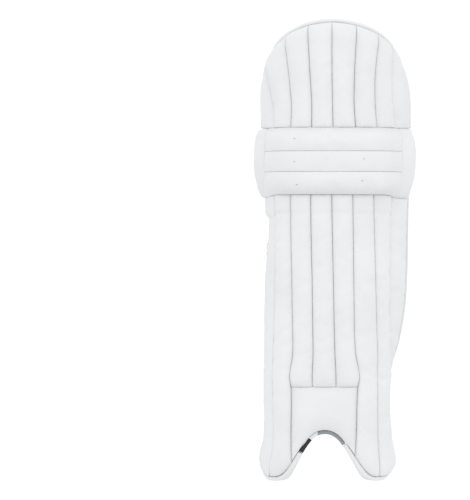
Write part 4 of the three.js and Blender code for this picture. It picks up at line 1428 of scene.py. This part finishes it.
def strap(name, z, width, wrap, tab_in):
    low = z - width / 2
    high = z + width / 2
    outer = FLAP_OUT if name == "knee" else float(edge_out(z))
    inner = -FLAP_IN if name == "knee" else float(edge_in(z))

    # Tab: sewn along the inside of the outer edge, then turned in and looped round the ring
    off = -TAB_OFF - tab_in * TAB_SLOPE
    seat = plan(outer - TAB_FROM - tab_in, z, off)
    lip = plan(outer - TAB_TO - tab_in, z, off)
    along = unit(lip - seat)
    inward = unit(TAB_WAY)
    swing = abs(np.angle(inward / along))
    lip_turn = turn_left(lip + TAB_TURN * 1j * along, TAB_TURN, along, swing, 10)
    outer_bar = lip_turn[-1] + TAB_RUN * inward + LOOP * 1j * inward
    tab_loop = turn_left(outer_bar, LOOP, inward, math.pi, 14)
    tab_path = np.concatenate([[seat], lip_turn, tab_loop, [tab_loop[-1] - TAB_END * inward]])
    webbing(f"{name}_ring_tab", tab_path, WEBBING, low, high, "webbing")
    inner_bar = outer_bar + RING_BAR * inward
    ring_frame(f"{name}_strap_ring", (outer_bar, inner_bar), inward, low, high)

    # Strap: sewn on the inner side's outer face, round that edge, across, round the ring and back
    hub = plan(inner + WRAP_IN, z, 0)
    outside = plan(inner + WRAP_IN, z, 1) - hub
    backward = unit(plan(inner, z, 0) - plan(inner + EDGE_STEP, z, 0))
    quarter = np.linspace(0, np.pi / 2, 12)

    def folded(radius):
        fold = hub + radius * (outside * np.cos(quarter) + backward * np.sin(quarter))
        return np.concatenate([[hub + radius * outside - WRAP_LENGTH * backward], fold])

    fold = folded(wrap)
    bar_turn = turn_left(inner_bar, LOOP, -inward, math.pi, 14)
    across = bar_turn[0] - fold[-1]
    aside = 1j * unit(across)
    reach = abs(across)

    def spot(share, lift):
        return fold[-1] + across * share + aside * (STRAP_BOW * 4 * share * (1 - share) + lift)

    run = spot(np.linspace(*STRAP_RUN, 40), 0)
    tail = spot(1 - np.linspace(TAIL_FROM, TAIL, 14) / reach, TAIL_LIFT)
    webbing(f"{name}_strap", np.concatenate([fold, run, bar_turn, tail]), WEBBING, low, high, "webbing")
    for back_from_end in TAIL_ROWS:
        upright_line(spot(1 - (TAIL - back_from_end) / reach, TAIL_LIFT), aside, low, high)
    upright_line(spot(STRAP_STITCH, 0), aside, low, high)

    # Patch over the ankle strap where it folds round the inner edge
    if name == "ankle":
        lift = WEBBING / 2 + PATCH_CLEAR + PATCH / 2
        patch_path = np.concatenate([folded(wrap + lift), [spot(PATCH_END, lift)]])
        webbing("ankle_anchor_patch", patch_path, PATCH, low - PATCH_OVER, high + PATCH_OVER, "cover")


for row in STRAPS:
    strap(*row)


# Stitches


def stitch_rows(name, lines, finish, slot, pitch, length):
    """Short arched threads along lines of points with their normals, joined into one piece."""
    shares, lifts, radii = np.array(STITCH_SHAPE).T
    stations = shares * length
    radii = radii * THREAD
    around = np.linspace(0, 2 * np.pi, 6, endpoint=False)
    points, faces = [], []
    count = 0
    for line, normal in lines:
        lengths = lengths_along(line)
        starts = (np.arange(int(lengths[-1] // pitch)) + 0.5) * pitch - length / 2
        where = starts[:, None] + stations[None, :]
        centre = np.stack([np.interp(where, lengths, line[:, k]) for k in range(3)], -1)
        up = unit_rows(np.stack([np.interp(where, lengths, normal[:, k]) for k in range(3)], -1))
        side = np.cross(up, unit_rows(np.gradient(centre, axis=1)))
        centre = centre + up * lifts[None, :, None]
        ring = np.cos(around)[:, None] * side[:, :, None, :] + np.sin(around)[:, None] * up[:, :, None, :]
        for stitch in centre[:, :, None, :] + radii[None, :, None, None] * ring:
            body, sides = swept(stitch)
            points.append(body)
            faces += [tuple(corner + count for corner in face) for face in sides]
            count += len(body)
    place(name, np.concatenate(points), faces, finish, slot)


def tuft_lines():
    """A short stitch at each place where a thread pulls the rolls in."""
    lines = []
    for s, z in TUFTS:
        rolls = (panel for panel in covers if panel.name.startswith("knee_roll"))
        roll = next(panel for panel in rolls if panel.z.min() < z < panel.z.max())
        along = s + np.linspace(-2, 2, 5)
        level = np.full(5, float(z))
        lines.append((sheet(along, level, roll.height_at(along, level)), off_sheet(along, level)))
    return lines


TAPE_THREADS = (
    ("binding_stitches", "cover", WHITE_THREAD),
    ("grey_tape_stitches", "binding_grey", GREY_THREAD),
    ("black_tape_stitches", "binding_black", BLACK_THREAD),
)
for name, slot, thread in TAPE_THREADS:
    stitch_rows(name, binding_lines[slot], thread, slot, *TAPE_STITCHES)
stitch_rows("tuft_stitches", tuft_lines(), GREY_THREAD, "cover", *TUFT_STITCHES)
stitch_rows("strap_stitches", strap_lines, WHITE_THREAD, "webbing", *STRAP_STITCHES)
stitch_rows("label_stitches", [label_line], GREY_THREAD, "webbing", *STRAP_STITCHES)


# Floor, light and camera


def bowl():
    """A pale floor that curves up into a wall all round."""
    turn = np.linspace(0, np.pi / 2, 24)
    radius = np.concatenate([[0.5, 1.2], BOWL_FLAT + BOWL_CURL * np.sin(turn), [BOWL_FLAT + BOWL_CURL]])
    height = np.concatenate([[0.0, 0.0], BOWL_CURL * (1 - np.cos(turn)), [BOWL_WALL]])
    around = np.linspace(0, 2 * np.pi, 96, endpoint=False)
    circle = np.stack([np.cos(around), np.sin(around)], -1)
    flat = radius[:, None, None] * circle
    rings = np.concatenate([flat, np.broadcast_to(height[:, None, None], (*flat.shape[:2], 1))], -1)
    points, faces = swept(rings)
    mesh = bpy.data.meshes.new("bowl")
    # The last face would close the top, and the rest face in.
    mesh.from_pydata(points.tolist(), [], [face[::-1] for face in faces[:-1]])
    mesh.shade_smooth()
    material, tree, shader = shell("bowl_paint", 0.9, 0.0)
    white = (1, 1, 1, 1)
    glow = {"Base Color": (0.2, 0.2, 0.2, 1), "Emission Color": white, "Emission Strength": BOWL_GLOW}
    feed(tree, shader, glow)
    mesh.materials.append(material)
    made = add("bowl", mesh)
    # The bowl is only looked at: the light comes from the sky and the two lamps, through its wall.
    made.visible_diffuse = False
    made.visible_glossy = False
    made.visible_shadow = False


def sky():
    """Soft light from all round, stronger from above than from below."""
    world = bpy.data.worlds.new("sky")
    world.use_nodes = True
    bpy.context.scene.world = world
    tree = world.node_tree
    way = node(tree, "TexCoord")["Generated"]
    up = node(tree, "SeparateXYZ", {"Vector": way})["Z"]
    share = node(tree, "MapRange", {"Value": up, "From Min": -1.0, "From Max": 1.0})["Result"]
    feed(tree, tree.nodes["Background"], {"Color": ramp(tree, share, SKY)})


def lamp(name, spot, power):
    light = bpy.data.lights.new(name, "AREA")
    light.size = LAMP_SIZE
    light.energy = power
    made = add(name, light)
    made.location = spot
    made.rotation_euler = (Vector(LAMP_AIM) - Vector(spot)).to_track_quat("-Z", "Y").to_euler()


def camera():
    distance = PIXEL * MM * IMAGE_LONG * LENS / SENSOR
    data = bpy.data.cameras.new("camera")
    data.lens = LENS
    data.sensor_width = SENSOR
    data.shift_x = -PAD_SHIFT / IMAGE_LONG
    made = add("camera", data)
    made.location = (0, -distance - CAMERA_BACK * MM, CAMERA_HEIGHT * MM)
    made.rotation_euler = (math.pi / 2, 0, 0)
    bpy.context.scene.camera = made


bowl()
sky()
for row in LAMPS:
    lamp(*row)
camera()
bpy.context.scene.view_settings.view_transform = "Standard"
